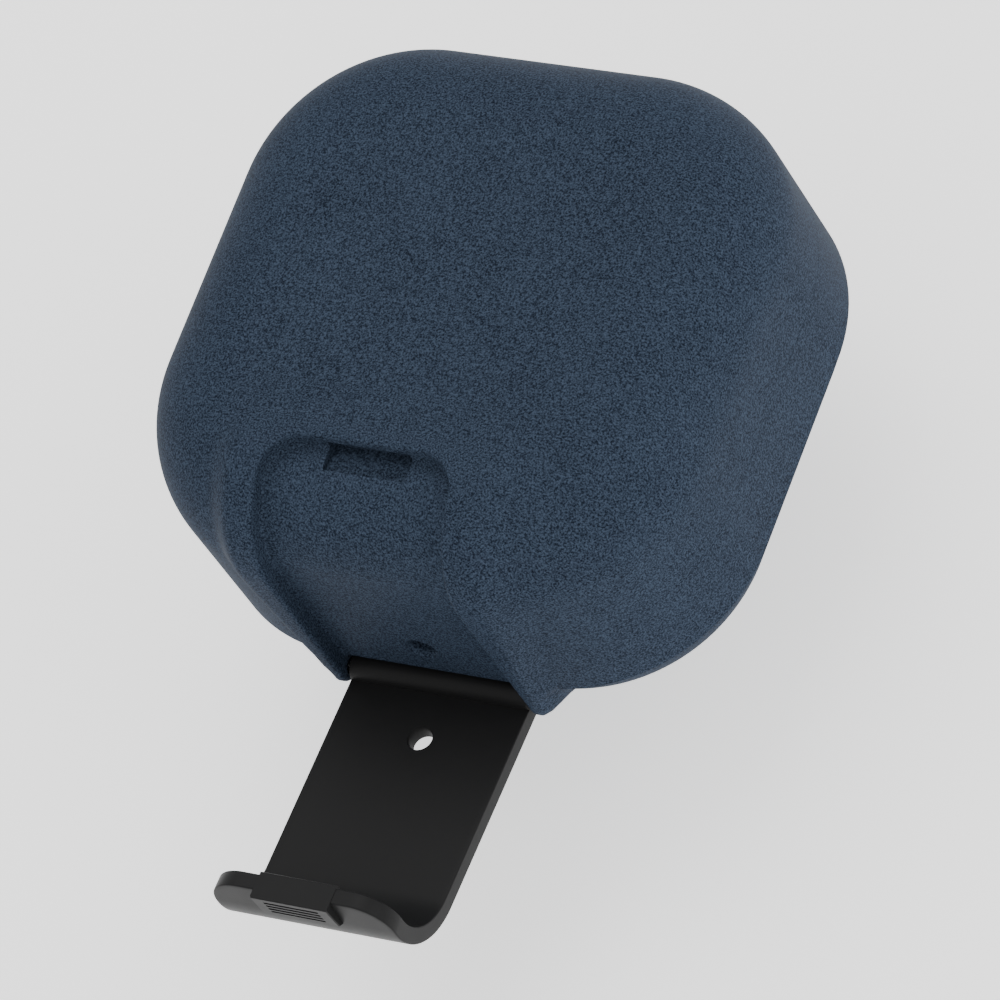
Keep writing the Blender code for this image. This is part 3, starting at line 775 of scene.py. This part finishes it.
def dish(name, flat_z, rim_z, ease=0.2):
    """One half of the charging case: a thin dish whose rim is rounded outside and inside."""
    towards, inner = math.copysign(1, rim_z - flat_z), CASE_ROUNDING - CASE_WALL
    arc, edge, middle = spread(0, QUARTER, 12), spread(0, QUARTER, 4), 11.0
    profile = [(middle, flat_z)]
    profile += [(CASE_ROUNDING * (1 - sin(t)), flat_z + towards * CASE_ROUNDING * (1 - cos(t)))
                for t in arc]
    profile += [(ease * (1 - cos(t)), rim_z - towards * ease * (1 - sin(t))) for t in edge]
    profile += [(CASE_WALL - ease * (1 - sin(t)), rim_z - towards * ease * (1 - cos(t)))
                for t in edge]
    profile += [(CASE_WALL + inner * (1 - sin(t)),
                 flat_z + towards * (CASE_WALL + inner * (1 - cos(t)))) for t in arc[::-1]]
    profile.append((middle, flat_z + towards * CASE_WALL))
    return through(name, [[(x, y, z) for x, y in rounded(*(side - inset for side in CASE), 16)]
                          for inset, z in profile])


def bar(name, start, end, radius, axis="x", centre=LID_AXIS, ease=0.12, sides=48):
    """A rod with chamfered ends."""
    return turned(name, axis, centre, ((start, radius - ease), (start + ease, radius), (end - ease, radius),
                                       (end, radius - ease)), sides=sides)


def bowl(name, centre, radii, end, flare=0.0, over=1.5, steps=20, sides=80):
    """Half an ellipsoid up to a latitude in degrees. A flare rounds the lip of the hole it cuts."""
    towards = math.copysign(1, end)
    profile = [(-over - flare, 1.0, flare)] if flare else []
    profile += [(-flare * cos(t), 1.0, flare * (1 - sin(t))) for t in spread(0, QUARTER, 5)[:-1]
                if flare]
    profile += [(radii[2] * sin(t), cos(t), 0.0)
                for t in spread(0, math.radians(abs(end)), steps)]
    x, y, z = centre
    rings = [oval(x, y, z + towards * up, radii[0] * share + grow, radii[1] * share + grow, sides)
             for up, share, grow in profile]
    return through(name, rings)


# ---- Settings --------------------------------------------------------------------------------------

class EARCASE_PG_cover(bpy.types.PropertyGroup):
    seam_gap: FloatProperty(name="Seam gap", description="Half the gap between the two shells, in mm",
                            default=0.02, min=0.01, max=0.15)
    inner_fillet: FloatProperty(name="Inner fillet", description="Radius at the recess wall's foot, in mm",
                                default=0.35, min=0.1, max=0.6)
    outer_fillet: FloatProperty(name="Outer fillet", description="Radius at the recess wall's top, in mm",
                                default=0.45, min=0.1, max=0.8)
    grain_size: FloatProperty(name="Grain size", description="Size of the blasted grain, in mm",
                              default=0.18, min=0.05, max=1.0)
    grain_depth: FloatProperty(name="Grain depth", description="Height of the blasted grain, in mm",
                               default=0.02, min=0.0, max=0.1)


class EARCASE_PG_latch(bpy.types.PropertyGroup):
    edge: FloatProperty(name="Edge radius", description="Rounding of the plate's edges, in mm",
                        default=0.15, min=0.05, max=0.7)
    grooves: IntProperty(name="Grip grooves", description="Number of grooves across the tab",
                         default=4, min=1, max=5)


class EARCASE_PG_inside(bpy.types.PropertyGroup):
    well_lip: FloatProperty(name="Well lip", description="Rounding of each earbud well's lip, in mm",
                            default=0.5, min=0.1, max=0.6)
    windings: IntProperty(name="Windings", description="Turns in each layer of the charging coil",
                          default=15, min=4, max=16)
    part_spacing: FloatProperty(name="Part spacing", description="Room round each part on the board, in mm",
                                default=1.0, min=0.6, max=3.0)


class EARCASE_PG_studio(bpy.types.PropertyGroup):
    distance: FloatProperty(name="Distance", description="From the camera to the point it looks at",
                            default=0.799, min=0.1, subtype="DISTANCE", unit="LENGTH")
    lens: FloatProperty(name="Lens", description="Focal length on a 36 mm sensor", default=306.6, min=20.0)
    key: FloatProperty(name="Key light", description="Power of the overhead light, in watts", default=2.0)


class EARCASE_PG_settings(bpy.types.PropertyGroup):
    cover: PointerProperty(name="Cover", description="The two shells", type=EARCASE_PG_cover)
    latch: PointerProperty(name="Latch", description="The swinging latch", type=EARCASE_PG_latch)
    inside: PointerProperty(name="Inside", description="The charging case's contents", type=EARCASE_PG_inside)
    studio: PointerProperty(name="Studio", description="Camera and lights", type=EARCASE_PG_studio)


# ---- Operators -------------------------------------------------------------------------------------

class EARCASE_OT_cover(bpy.types.Operator):
    """Build the cover's lid and base"""

    bl_idname = "earcase.cover"
    bl_label = "Build Cover"

    def execute(self, context):
        settings = context.scene.earcase.cover
        gap = settings.seam_gap
        lines = recess_lines(settings.inner_fillet, settings.outer_fillet, 8.0)
        navy = grained("Navy blasted plastic", (0.004, 0.006, 0.012), (0.050, 0.070, 0.106),
                       settings.grain_size, settings.grain_depth, 0.6, Specular_IOR_Level=0.02)
        rings = lid_rings(lines, gap)[::-1] + inside_rings(lines, SEAM + gap, HEIGHT - WALL)[::-1]
        lid = through("cover_lid", rings, navy)
        notch = block("notch", TAB_HALF + CLEARANCE, 1.5, 0.25, [(RIM_TOP - 2.8, 0), (RIM_TOP - 1.1, 0)],
                      at=(0, RECESS_BACK - 0.9))
        window = block("window_high", BACK_WINDOW_HALF, 3.0, 0.5, [(SEAM - 1, 0), (SEAM + 5, 0)],
                       at=(0, BACK_WINDOW_Y))
        ceiling = HEIGHT - WALL
        pockets = [block(f"pocket_{name}", 3.3, 13.3, 1.0, [(ceiling - 1, 0), (ceiling + 0.5, 0)],
                         at=(side * STRIP_X, 0)) for name, side in SIDES]
        join_with(lid, "DIFFERENCE", notch, window, *pockets)
        settle(even_normals(lid), "lid", "navy_shell", "lid_shell")

        rings = base_rings(lines, gap)[::-1] + inside_rings(lines, SEAM - gap, WALL)[::-1]
        base = through("cover_base", rings, navy)
        hole = turned("light_hole", "y", (0, 0, WINDOW_Z),
                      ((RIM_FRONT, 1.9), (-27.6, 1.75), (-27.1, WINDOW_RADIUS), (-22.0, WINDOW_RADIUS)))
        room, reach = LATCH_PIN + CLEARANCE, LATCH_PIN_HALF + CLEARANCE
        bore = turned("pin_bore", "x", (0, HINGE_Y, HINGE_Z), ((-reach, room), (reach, room)), sides=32)
        window = block("window_low", BACK_WINDOW_HALF, 3.0, 0.5, [(SEAM - 4, 0), (SEAM + 1, 0)],
                       at=(0, BACK_WINDOW_Y))
        slot = block("cable_slot", 6.2, 3.4, 3.2, [(21.0, 0), (27.2, 0), (28.6, 1.2)], "y", (0, PORT_Z))
        join_with(base, "DIFFERENCE", hole, bore, window, slot)
        settle(even_normals(base), "base", "navy_shell", "base_shell")
        return {"FINISHED"}


class EARCASE_OT_latch(bpy.types.Operator):
    """Build the swinging latch"""

    bl_idname = "earcase.latch"
    bl_label = "Build Latch"

    def execute(self, context):
        settings = context.scene.earcase.latch
        black = plain_finish("Black satin plastic", (0.0115, 0.0115, 0.0118), 0.45, wear=0.05, relief=0.006,
                             Specular_IOR_Level=0.12)
        plate = latch_plate(settings.edge)
        barrel = block("barrel", LATCH_BARREL, LATCH_BARREL, LATCH_BARREL - 0.01,
                       eased(-LATCH_HALF, LATCH_HALF, 0.2), "x", (HINGE_Y, HINGE_Z), steps=12)
        join_with(plate, "UNION", barrel, latch_tab(0.1))
        window = turned("window", "y", (0, 0, WINDOW_Z + 0.3), ((-30.5, 1.2), (-28.0, 1.2), (-27.0, 1.8)))
        room = LATCH_PIN + CLEARANCE
        bore = turned("bore", "x", (0, HINGE_Y, HINGE_Z), ((-15, room), (15, room)), sides=32)
        grooves = []
        for i in range(settings.grooves):
            middle = LATCH_END - 0.75 - 0.6 * i
            sink = 0.55 - 0.06 * i
            grooves.append(bent_bar(f"groove_{i}", 2.9, (middle - 0.16, middle + 0.16), (-2.0, -sink)))
        join_with(plate, "DIFFERENCE", window, bore, *grooves)
        plate.data.materials.clear()
        plate.data.materials.append(black)
        swing_open(plate)
        settle(even_normals(plate), "latch", "black_latch", "latch")
        return {"FINISHED"}


class EARCASE_OT_housing(bpy.types.Operator):
    """Build the charging case's two halves, its hinge pin, and the pin of the latch"""

    bl_idname = "earcase.housing"
    bl_label = "Build Charging Case"

    def execute(self, context):
        room, bore = KNUCKLE + CLEARANCE, LID_PIN + CLEARANCE
        base = dish("housing_base", CASE_FLOOR, SEAM - 0.15)
        join_with(base, "UNION",
                  bar("knuckle_left", -KNUCKLE_END, -KNUCKLE_SPLIT, KNUCKLE),
                  bar("knuckle_right", KNUCKLE_SPLIT, KNUCKLE_END, KNUCKLE),
                  *(bar(f"post_{name}", CASE_FLOOR + 1.9, TRAY_BOTTOM - CLEARANCE, 1.8, "z", (x, y, 0))
                    for name, x, y in SCREWS))
        join_with(base, "DIFFERENCE",
                  turned("lid_room", "x", LID_AXIS, ((-5.0, room), (5.0, room))),
                  turned("bore", "x", LID_AXIS, ((-14, bore), (14, bore))),
                  turned("guide_bore", "y", (0, 0, WINDOW_Z), ((-27, WINDOW_RADIUS), (-21, WINDOW_RADIUS))),
                  block("port_opening", 4.8, 1.9, 1.85, [(22.0, 0), (24.2, 0), (25.4, 0.5)], "y",
                        (0, PORT_Z)),
                  *(turned(f"hole_{name}", "z", (x, y, 0), ((8.0, 0.9), (SEAM, 0.9)))
                    for name, x, y in SCREWS))
        dress(even_normals(base), "base", "case_plastic", "case_base")

        lid = dish("housing_lid", CASE_TOP, SEAM + 0.15)
        lid_end, far = KNUCKLE_SPLIT - CLEARANCE, KNUCKLE_END + CLEARANCE
        join_with(lid, "UNION", bar("lid_knuckle", -lid_end, lid_end, KNUCKLE))
        join_with(lid, "DIFFERENCE",
                  turned("room_left", "x", LID_AXIS, ((-far, room), (-lid_end, room))),
                  turned("room_right", "x", LID_AXIS, ((lid_end, room), (far, room))),
                  turned("lid_bore", "x", LID_AXIS, ((-6, bore), (6, bore))))
        dress(even_normals(lid), "lid", "case_plastic", "case_lid")
        dress(bar("lid_hinge_pin", -LID_PIN_HALF, LID_PIN_HALF, LID_PIN), "base", "steel", "case_hinge_pin")
        pin = bar("latch_hinge_pin", -LATCH_PIN_HALF, LATCH_PIN_HALF, LATCH_PIN, centre=(0, HINGE_Y, HINGE_Z))
        dress(pin, "base", "steel", "latch_pin")
        ceiling = HEIGHT - WALL
        for name, side in SIDES:
            strip = block(f"strip_{name}", 3.0, 13.0, 0.8, eased(ceiling, ceiling + 0.2, 0.05),
                          at=(side * STRIP_X, 0))
            dress(strip, "lid", "adhesive", f"lid_adhesive_{name}")
        return {"FINISHED"}


class EARCASE_OT_cradle(bpy.types.Operator):
    """Build the tray and the lid's liner with their magnets, screws and contact pins"""

    bl_idname = "earcase.cradle"
    bl_label = "Build Cradle"

    def execute(self, context):
        lip = context.scene.earcase.inside.well_lip
        tray = block("tray", *TRAY, eased(TRAY_BOTTOM, TRAY_TOP, 0.25), steps=16)
        well_z = TRAY_TOP - 0.6
        thick = [radius + 0.8 for radius in WELL_RADII]
        join_with(tray, "UNION", *(bowl(f"bowl_{name}", (side * BUD_X, WELL_Y, well_z), thick, -80)
                                   for name, side in SIDES))
        tools = [bowl(f"well_{name}", (side * BUD_X, WELL_Y, TRAY_TOP - lip), WELL_RADII, -80, lip)
                 for name, side in SIDES]
        for name, x, y in SCREWS:
            tools.append(turned(f"head_room_{name}", "z", (x, y, TRAY_TOP),
                                ((-3, 0.9), (-0.8, 0.9), (-0.8, 1.7), (-0.2, 1.7), (0.2, 2.0))))
        for name, side in SIDES:
            for end, step in ENDS:
                room = CONTACT_RADIUS + CLEARANCE
                tools.append(turned(f"pin_hole_{name}_{end}", "z", (side * (BUD_X + step), CONTACT_Y, 0),
                                    ((7, room), (14, room))))
        join_with(tray, "DIFFERENCE", *tools)
        dress(even_normals(tray), "base", "liner_plastic", "cradle_tray")

        liner = block("liner", *TRAY, eased(LINER_BOTTOM, LINER_TOP, 0.25), steps=16)
        thick = [radius + 0.8 for radius in DOME_RADII[:2]] + [9.5]
        join_with(liner, "UNION",
                  *(bowl(f"dome_{name}", (side * BUD_X, WELL_Y, LINER_BOTTOM + CLEARANCE), thick, 80)
                    for name, side in SIDES))
        join_with(liner, "DIFFERENCE",
                  *(bowl(f"room_{name}", (side * BUD_X, WELL_Y, LINER_BOTTOM + lip), DOME_RADII, 80, lip)
                    for name, side in SIDES))
        dress(even_normals(liner), "lid", "liner_plastic", "lid_liner")

        for name, side in SIDES:
            for body, word, low in (("base", "low", TRAY_BOTTOM - CLEARANCE - MAGNET_LENGTH),
                                    ("lid", "high", LINER_TOP + CLEARANCE)):
                magnet = bar(f"magnet_{word}_{name}", low, low + MAGNET_LENGTH, MAGNET_RADIUS, "z",
                             (side * MAGNET_X, MAGNET_Y, 0), 0.2)
                dress(magnet, body, "steel", f"{body}_magnet_{name}")
            for end, step in ENDS:
                dome = [(9.9 + CONTACT_RADIUS * sin(t), CONTACT_RADIUS * cos(t))
                        for t in spread(0, 1.45, 8)]
                pin = turned(f"contact_{name}_{end}", "z", (side * (BUD_X + step), CONTACT_Y, 0),
                             [(8.2, CONTACT_RADIUS - 0.08), (8.28, CONTACT_RADIUS)] + dome, sides=32)
                dress(pin, f"charge_pin_{name}_{end}_body", "gold", f"charge_pin_{name}_{end}")
        for name, x, y in SCREWS:
            thread = [(-5.9 + 0.2 * i, 0.66 if i % 2 else 0.5) for i in range(25)]
            head = [(-0.5, 1.25), (-0.42, 1.35), (-0.3, 1.33), (-0.18, 1.15), (-0.1, 0.75)]
            screw = turned(f"screw_{name}", "z", (x, y, TRAY_TOP), thread + head, sides=32)
            join_with(screw, "DIFFERENCE", *(
                block(f"drive_{half_x}", half_x, half_y, 0.05, [(TRAY_TOP - 0.45, -0.05), (TRAY_TOP, 0)],
                      at=(x, y)) for half_x, half_y in ((0.75, 0.14), (0.14, 0.75))))
            dress(screw, "base", "steel", f"tray_screw_{name}")
        return {"FINISHED"}


class EARCASE_OT_electronics(bpy.types.Operator):
    """Build the battery, the board, the charging port, the coil and the light guide"""

    bl_idname = "earcase.electronics"
    bl_label = "Build Electronics"

    def execute(self, context):
        settings = context.scene.earcase.inside
        wire, layer = 0.21, 0.45
        made = Generator("Coil windings", "copper", turns=settings.windings, wire=wire * MM)
        spiral = made.node("GeometryNodeCurveSpiral", {
            "Resolution": 48, "Rotations": made.given("turns"), "Start Radius": COIL_INNER * MM,
            "End Radius": COIL_OUTER * MM, "Height": 0.0})
        section = made.node("GeometryNodeCurvePrimitiveCircle",
                            {"Resolution": 8, "Radius": made.given("wire")})
        tube = made.node("GeometryNodeCurveToMesh", {"Curve": spiral, "Profile Curve": section,
                                                     "Fill Caps": True})
        layers = made.node("GeometryNodeMeshLine", {"Count": 2, "Offset": (0, 0, layer * MM),
                                                    "Start Location": (0, 0, (COIL_BOTTOM + 0.22) * MM)})
        coil = made.node("GeometryNodeInstanceOnPoints", {"Points": layers, "Instance": tube})
        dress(made.mesh("coil", coil), "base", "copper", "charging_coil")
        disc = bar("ferrite_disc", 6.2, 6.6, 15.0, "z", (0, 0, 0), 0.05, 96)
        dress(disc, "base", "ferrite", "ferrite_sheet")

        board = block("board", 16.5, 9.6, 6.0, eased(BOARD_BOTTOM, BOARD_TOP, 0.05), at=(0, 11.7), steps=12)
        dress(even_normals(board), "base", "board", "main_board")
        for name, slot, seed, low, high in (("passives", "copper", 5, (0.5, 0.3, 0.3), (1.0, 0.5, 0.5)),
                                            ("chips", "ferrite", 11, (0.8, 0.8, 0.8), (2.2, 1.8, 1.2))):
            made = Generator(f"Board {name}", slot, seed=seed, spacing=settings.part_spacing * MM)
            patch = made.node("GeometryNodeMeshGrid", {"Size X": 29 * MM, "Size Y": 9 * MM,
                                                       "Vertices X": 2, "Vertices Y": 2})
            points = made.node("GeometryNodeDistributePointsOnFaces",
                               {"Mesh": patch, "Distance Min": made.given("spacing") * (high[0] + 0.4),
                                "Density Max": 1e6, "Seed": made.given("seed")},
                               distribute_method="POISSON")
            size = made.node("FunctionNodeRandomValue", {0: low, 1: high, "Seed": made.given("seed")},
                             data_type="FLOAT_VECTOR")
            cube = made.node("GeometryNodeMeshCube", {"Size": (MM, MM, MM)})
            copies = made.node("GeometryNodeInstanceOnPoints",
                               {"Points": points, "Instance": cube, "Scale": size})
            moved = made.node("GeometryNodeTransform",
                              {"Geometry": copies, "Translation": (0, 11.5 * MM, BOARD_TOP * MM)})
            dress(made.mesh(f"board_{name}", moved), "base", slot)

        cell = block("cell", 13.1, 5.5, 1.5, eased(BOARD_BOTTOM, BATTERY_TOP, 1.2, 6), at=(0.9, -15.3),
                     steps=8)
        seal = block("seal", 1.5, 5.0, 0.4, eased(9.7, 10.0, 0.1), at=(-12.5, -15.3))
        join_with(cell, "UNION", seal)
        dress(even_normals(cell), "base", "battery_foil", "battery")

        shell = block("port_shell", 4.45, 1.6, 1.55, [(17.2, -0.1), (17.3, 0), (24.4, 0), (24.5, -0.1)], "y",
                      (0, PORT_Z), steps=10)
        mouth = block("port_mouth", 4.15, 1.3, 1.25, [(18.4, 0), (27, 0)], "y", (0, PORT_Z), steps=10)
        tongue = block("port_tongue", 3.3, 0.35, 0.1, [(18.0, 0), (22.9, 0), (23.2, -0.1)], "y", (0, PORT_Z))
        join_with(shell, "DIFFERENCE", mouth)
        join_with(shell, "UNION", tongue)
        dress(shell, "base", "steel", "usb_port")
        made = Generator("Port contacts", "gold", count=12, pitch=0.5 * MM)
        step = made.node("ShaderNodeCombineXYZ", {"X": made.given("pitch")})
        row = made.node("GeometryNodeMeshLine", {"Count": made.given("count"), "Offset": step,
                                                 "Start Location": (-2.75 * MM, 20.9 * MM, PORT_Z * MM)})
        pad = made.node("GeometryNodeMeshCube", {"Size": (0.26 * MM, 3.6 * MM, 0.76 * MM)})
        pads = made.node("GeometryNodeInstanceOnPoints", {"Points": row, "Instance": pad})
        dress(made.mesh("port_contacts", pads), "base", "gold")
        guide = turned("guide", "y", (0, 0, WINDOW_Z), ((-24.7, 0.75), (-24.6, 0.85), (-24.5, 0.9),
                                                        (-22.6, 0.9), (-22.4, 1.0), (-21.9, 1.0)))
        dress(guide, "base", "light_guide", "light_guide")
        return {"FINISHED"}


class EARCASE_OT_earbuds(bpy.types.Operator):
    """Build the two earbuds"""

    bl_idname = "earcase.earbuds"
    bl_label = "Build Earbuds"

    def execute(self, context):
        low, high, sides = math.radians(-82), math.radians(68), 96
        cap_z = BUD_Z + BUD_RADII[2] * sin(high) + CLEARANCE
        for name, side in SIDES:
            x = side * BUD_X
            rings = []
            for t in spread(low, high, 64):
                groove = 0.16 * (abs(t - 0.42) < 0.03)
                wide, deep = ((r - groove) * cos(t) for r in BUD_RADII[:2])
                rings.append(oval(x, BUD_Y, BUD_Z + BUD_RADII[2] * sin(t), wide, deep, sides))
            body = through(f"bud_{name}", rings)
            nozzle = turned(f"nozzle_{name}", "y", (x, 0, NOZZLE_Z),
                            ((-5.9, 1.85), (-5.75, 2.0), (-4.9, 2.0), (-4.5, 2.1), (-4.2, 2.4), (1.0, 2.4)))
            join_with(body, "UNION", nozzle)
            holes = [turned("outlet", "y", (x, 0, NOZZLE_Z), ((-7.0, 1.5), (-5.3, 1.5)))]
            holes += [turned(f"mic_{i}", "x", (x, BUD_Y + 1.2 * i, 20.6),
                             ((3.0 * side, 0.25), (9.0 * side, 0.25)), sides=20) for i in (-1, 0, 1)]
            join_with(body, "DIFFERENCE", *holes)
            dress(even_normals(body), "base", "bud_gloss", f"bud_body_{name}")

            dome = [(0.0, 3.0), (0.08, 3.1), (0.3, 3.1)]
            dome += [(0.3 + 0.3 * sin(t), 3.1 - 0.9 * (1 - cos(t))) for t in spread(0, QUARTER, 6)[1:]]
            dress(turned(f"cap_{name}", "z", (x, BUD_Y, cap_z), dome + [(0.62, 1.2)], sides=72), "base",
                  "touch_cap", f"touch_cap_{name}")
            skirt = [(-5.2 - 3.0 * cos(t), 3.6 * sin(t)) for t in spread(0.42, QUARTER, 14)]
            skirt += [(-4.95, 3.57), (-4.8, 3.45)]
            tip = turned(f"tip_{name}", "y", (x, 0, NOZZLE_Z), skirt, sides=72)
            bore = turned(f"tip_bore_{name}", "y", (x, 0, NOZZLE_Z),
                          ((-9.5, 1.1), (-6.7, 1.1), (-6.3, 2.3), (-5.7, 2.35), (-5.3, 3.0), (-4.0, 3.2)))
            join_with(tip, "DIFFERENCE", bore)
            dress(even_normals(tip), "base", "silicone", f"ear_tip_{name}")
        return {"FINISHED"}


class EARCASE_OT_stage(bpy.types.Operator):
    """Add the floor, the lights and the camera"""

    bl_idname = "earcase.stage"
    bl_label = "Add Stage"

    def execute(self, context):
        settings = context.scene.earcase.studio
        scene = context.scene
        white = plain_finish("Pale floor", (0.92, 0.92, 0.92), 0.9, wear=0.0, relief=0.0,
                             Emission_Color=(1.0, 1.0, 1.0), Emission_Strength=0.9)
        reach, level = 3000, -14
        corners = [(x * reach, y * reach, level) for x, y in ((-1, -1), (1, -1), (1, 1), (-1, 1))]
        floor = hang("floor", corners, [[0, 1, 2, 3]], white)
        right = Vector((0.867, 0.342, -0.361)).normalized()
        back = Vector((0.478, -0.370, 0.797)).normalized()
        up = back.cross(right).normalized()
        right = up.cross(back)
        aim = Vector((0.0015, -0.0108, 0.0115))
        camera = bpy.data.objects.new("camera", bpy.data.cameras.new("camera"))
        scene.collection.objects.link(camera)
        camera.data.lens, camera.data.sensor_width = settings.lens, 36
        turn = Matrix((right, up, back)).transposed().to_4x4()
        camera.matrix_world = Matrix.Translation(aim + back * settings.distance) @ turn
        camera.data.clip_start, camera.data.clip_end = 0.01, 20
        scene.camera = camera
        world = bpy.data.worlds.new("Soft studio")
        scene.world = world
        world.use_nodes = True
        world.node_tree.nodes["Background"].inputs["Color"].default_value = (1, 1, 1, 1)
        world.node_tree.nodes["Background"].inputs["Strength"].default_value = 1.0
        lights = (("key", (-0.10, 0.25, 0.70), 0.6, settings.key), ("fill", (0.55, 0.10, 0.45), 0.5, 1.0),
                  ("front", (0.25, -0.75, 0.40), 0.5, 0.7))
        for name, where, size, power in lights:
            lamp = bpy.data.lights.new(name, "AREA")
            lamp.shape, lamp.size, lamp.energy = "DISK", size, power
            obj = bpy.data.objects.new(name, lamp)
            obj.location = where
            obj.rotation_euler = (Vector(where)).to_track_quat("Z", "Y").to_euler()
            scene.collection.objects.link(obj)
        return {"FINISHED"}


class EARCASE_PT_panel(bpy.types.Panel):
    """Buttons that build the model"""

    bl_idname = "EARCASE_PT_panel"
    bl_label = "Earbuds Case"
    bl_space_type = "VIEW_3D"
    bl_region_type = "UI"
    bl_category = "Earbuds Case"

    def draw(self, context):
        settings = context.scene.earcase
        for group in (settings.cover, settings.latch, settings.inside, settings.studio):
            box = self.layout.box()
            for name in group.__annotations__:
                box.prop(group, name)
        for operator in OPERATORS:
            self.layout.operator(operator.bl_idname)


OPERATORS = (EARCASE_OT_cover, EARCASE_OT_latch, EARCASE_OT_housing, EARCASE_OT_cradle,
             EARCASE_OT_electronics, EARCASE_OT_earbuds, EARCASE_OT_stage)
CLASSES = (EARCASE_PG_cover, EARCASE_PG_latch, EARCASE_PG_inside, EARCASE_PG_studio,
           EARCASE_PG_settings, *OPERATORS, EARCASE_PT_panel)


def register():
    for cls in CLASSES:
        bpy.utils.register_class(cls)
    bpy.types.Scene.earcase = PointerProperty(name="Earbuds case", type=EARCASE_PG_settings)


def unregister():
    del bpy.types.Scene.earcase
    for cls in reversed(CLASSES):
        bpy.utils.unregister_class(cls)


def main():
    register()
    for name in ("Cube", "Light", "Camera"):
        if name in bpy.data.objects:
            bpy.data.objects.remove(bpy.data.objects[name], do_unlink=True)
    for operator in OPERATORS:
        group, name = operator.bl_idname.split(".")
        getattr(getattr(bpy.ops, group), name)()


if __name__ == "__main__":
    main()
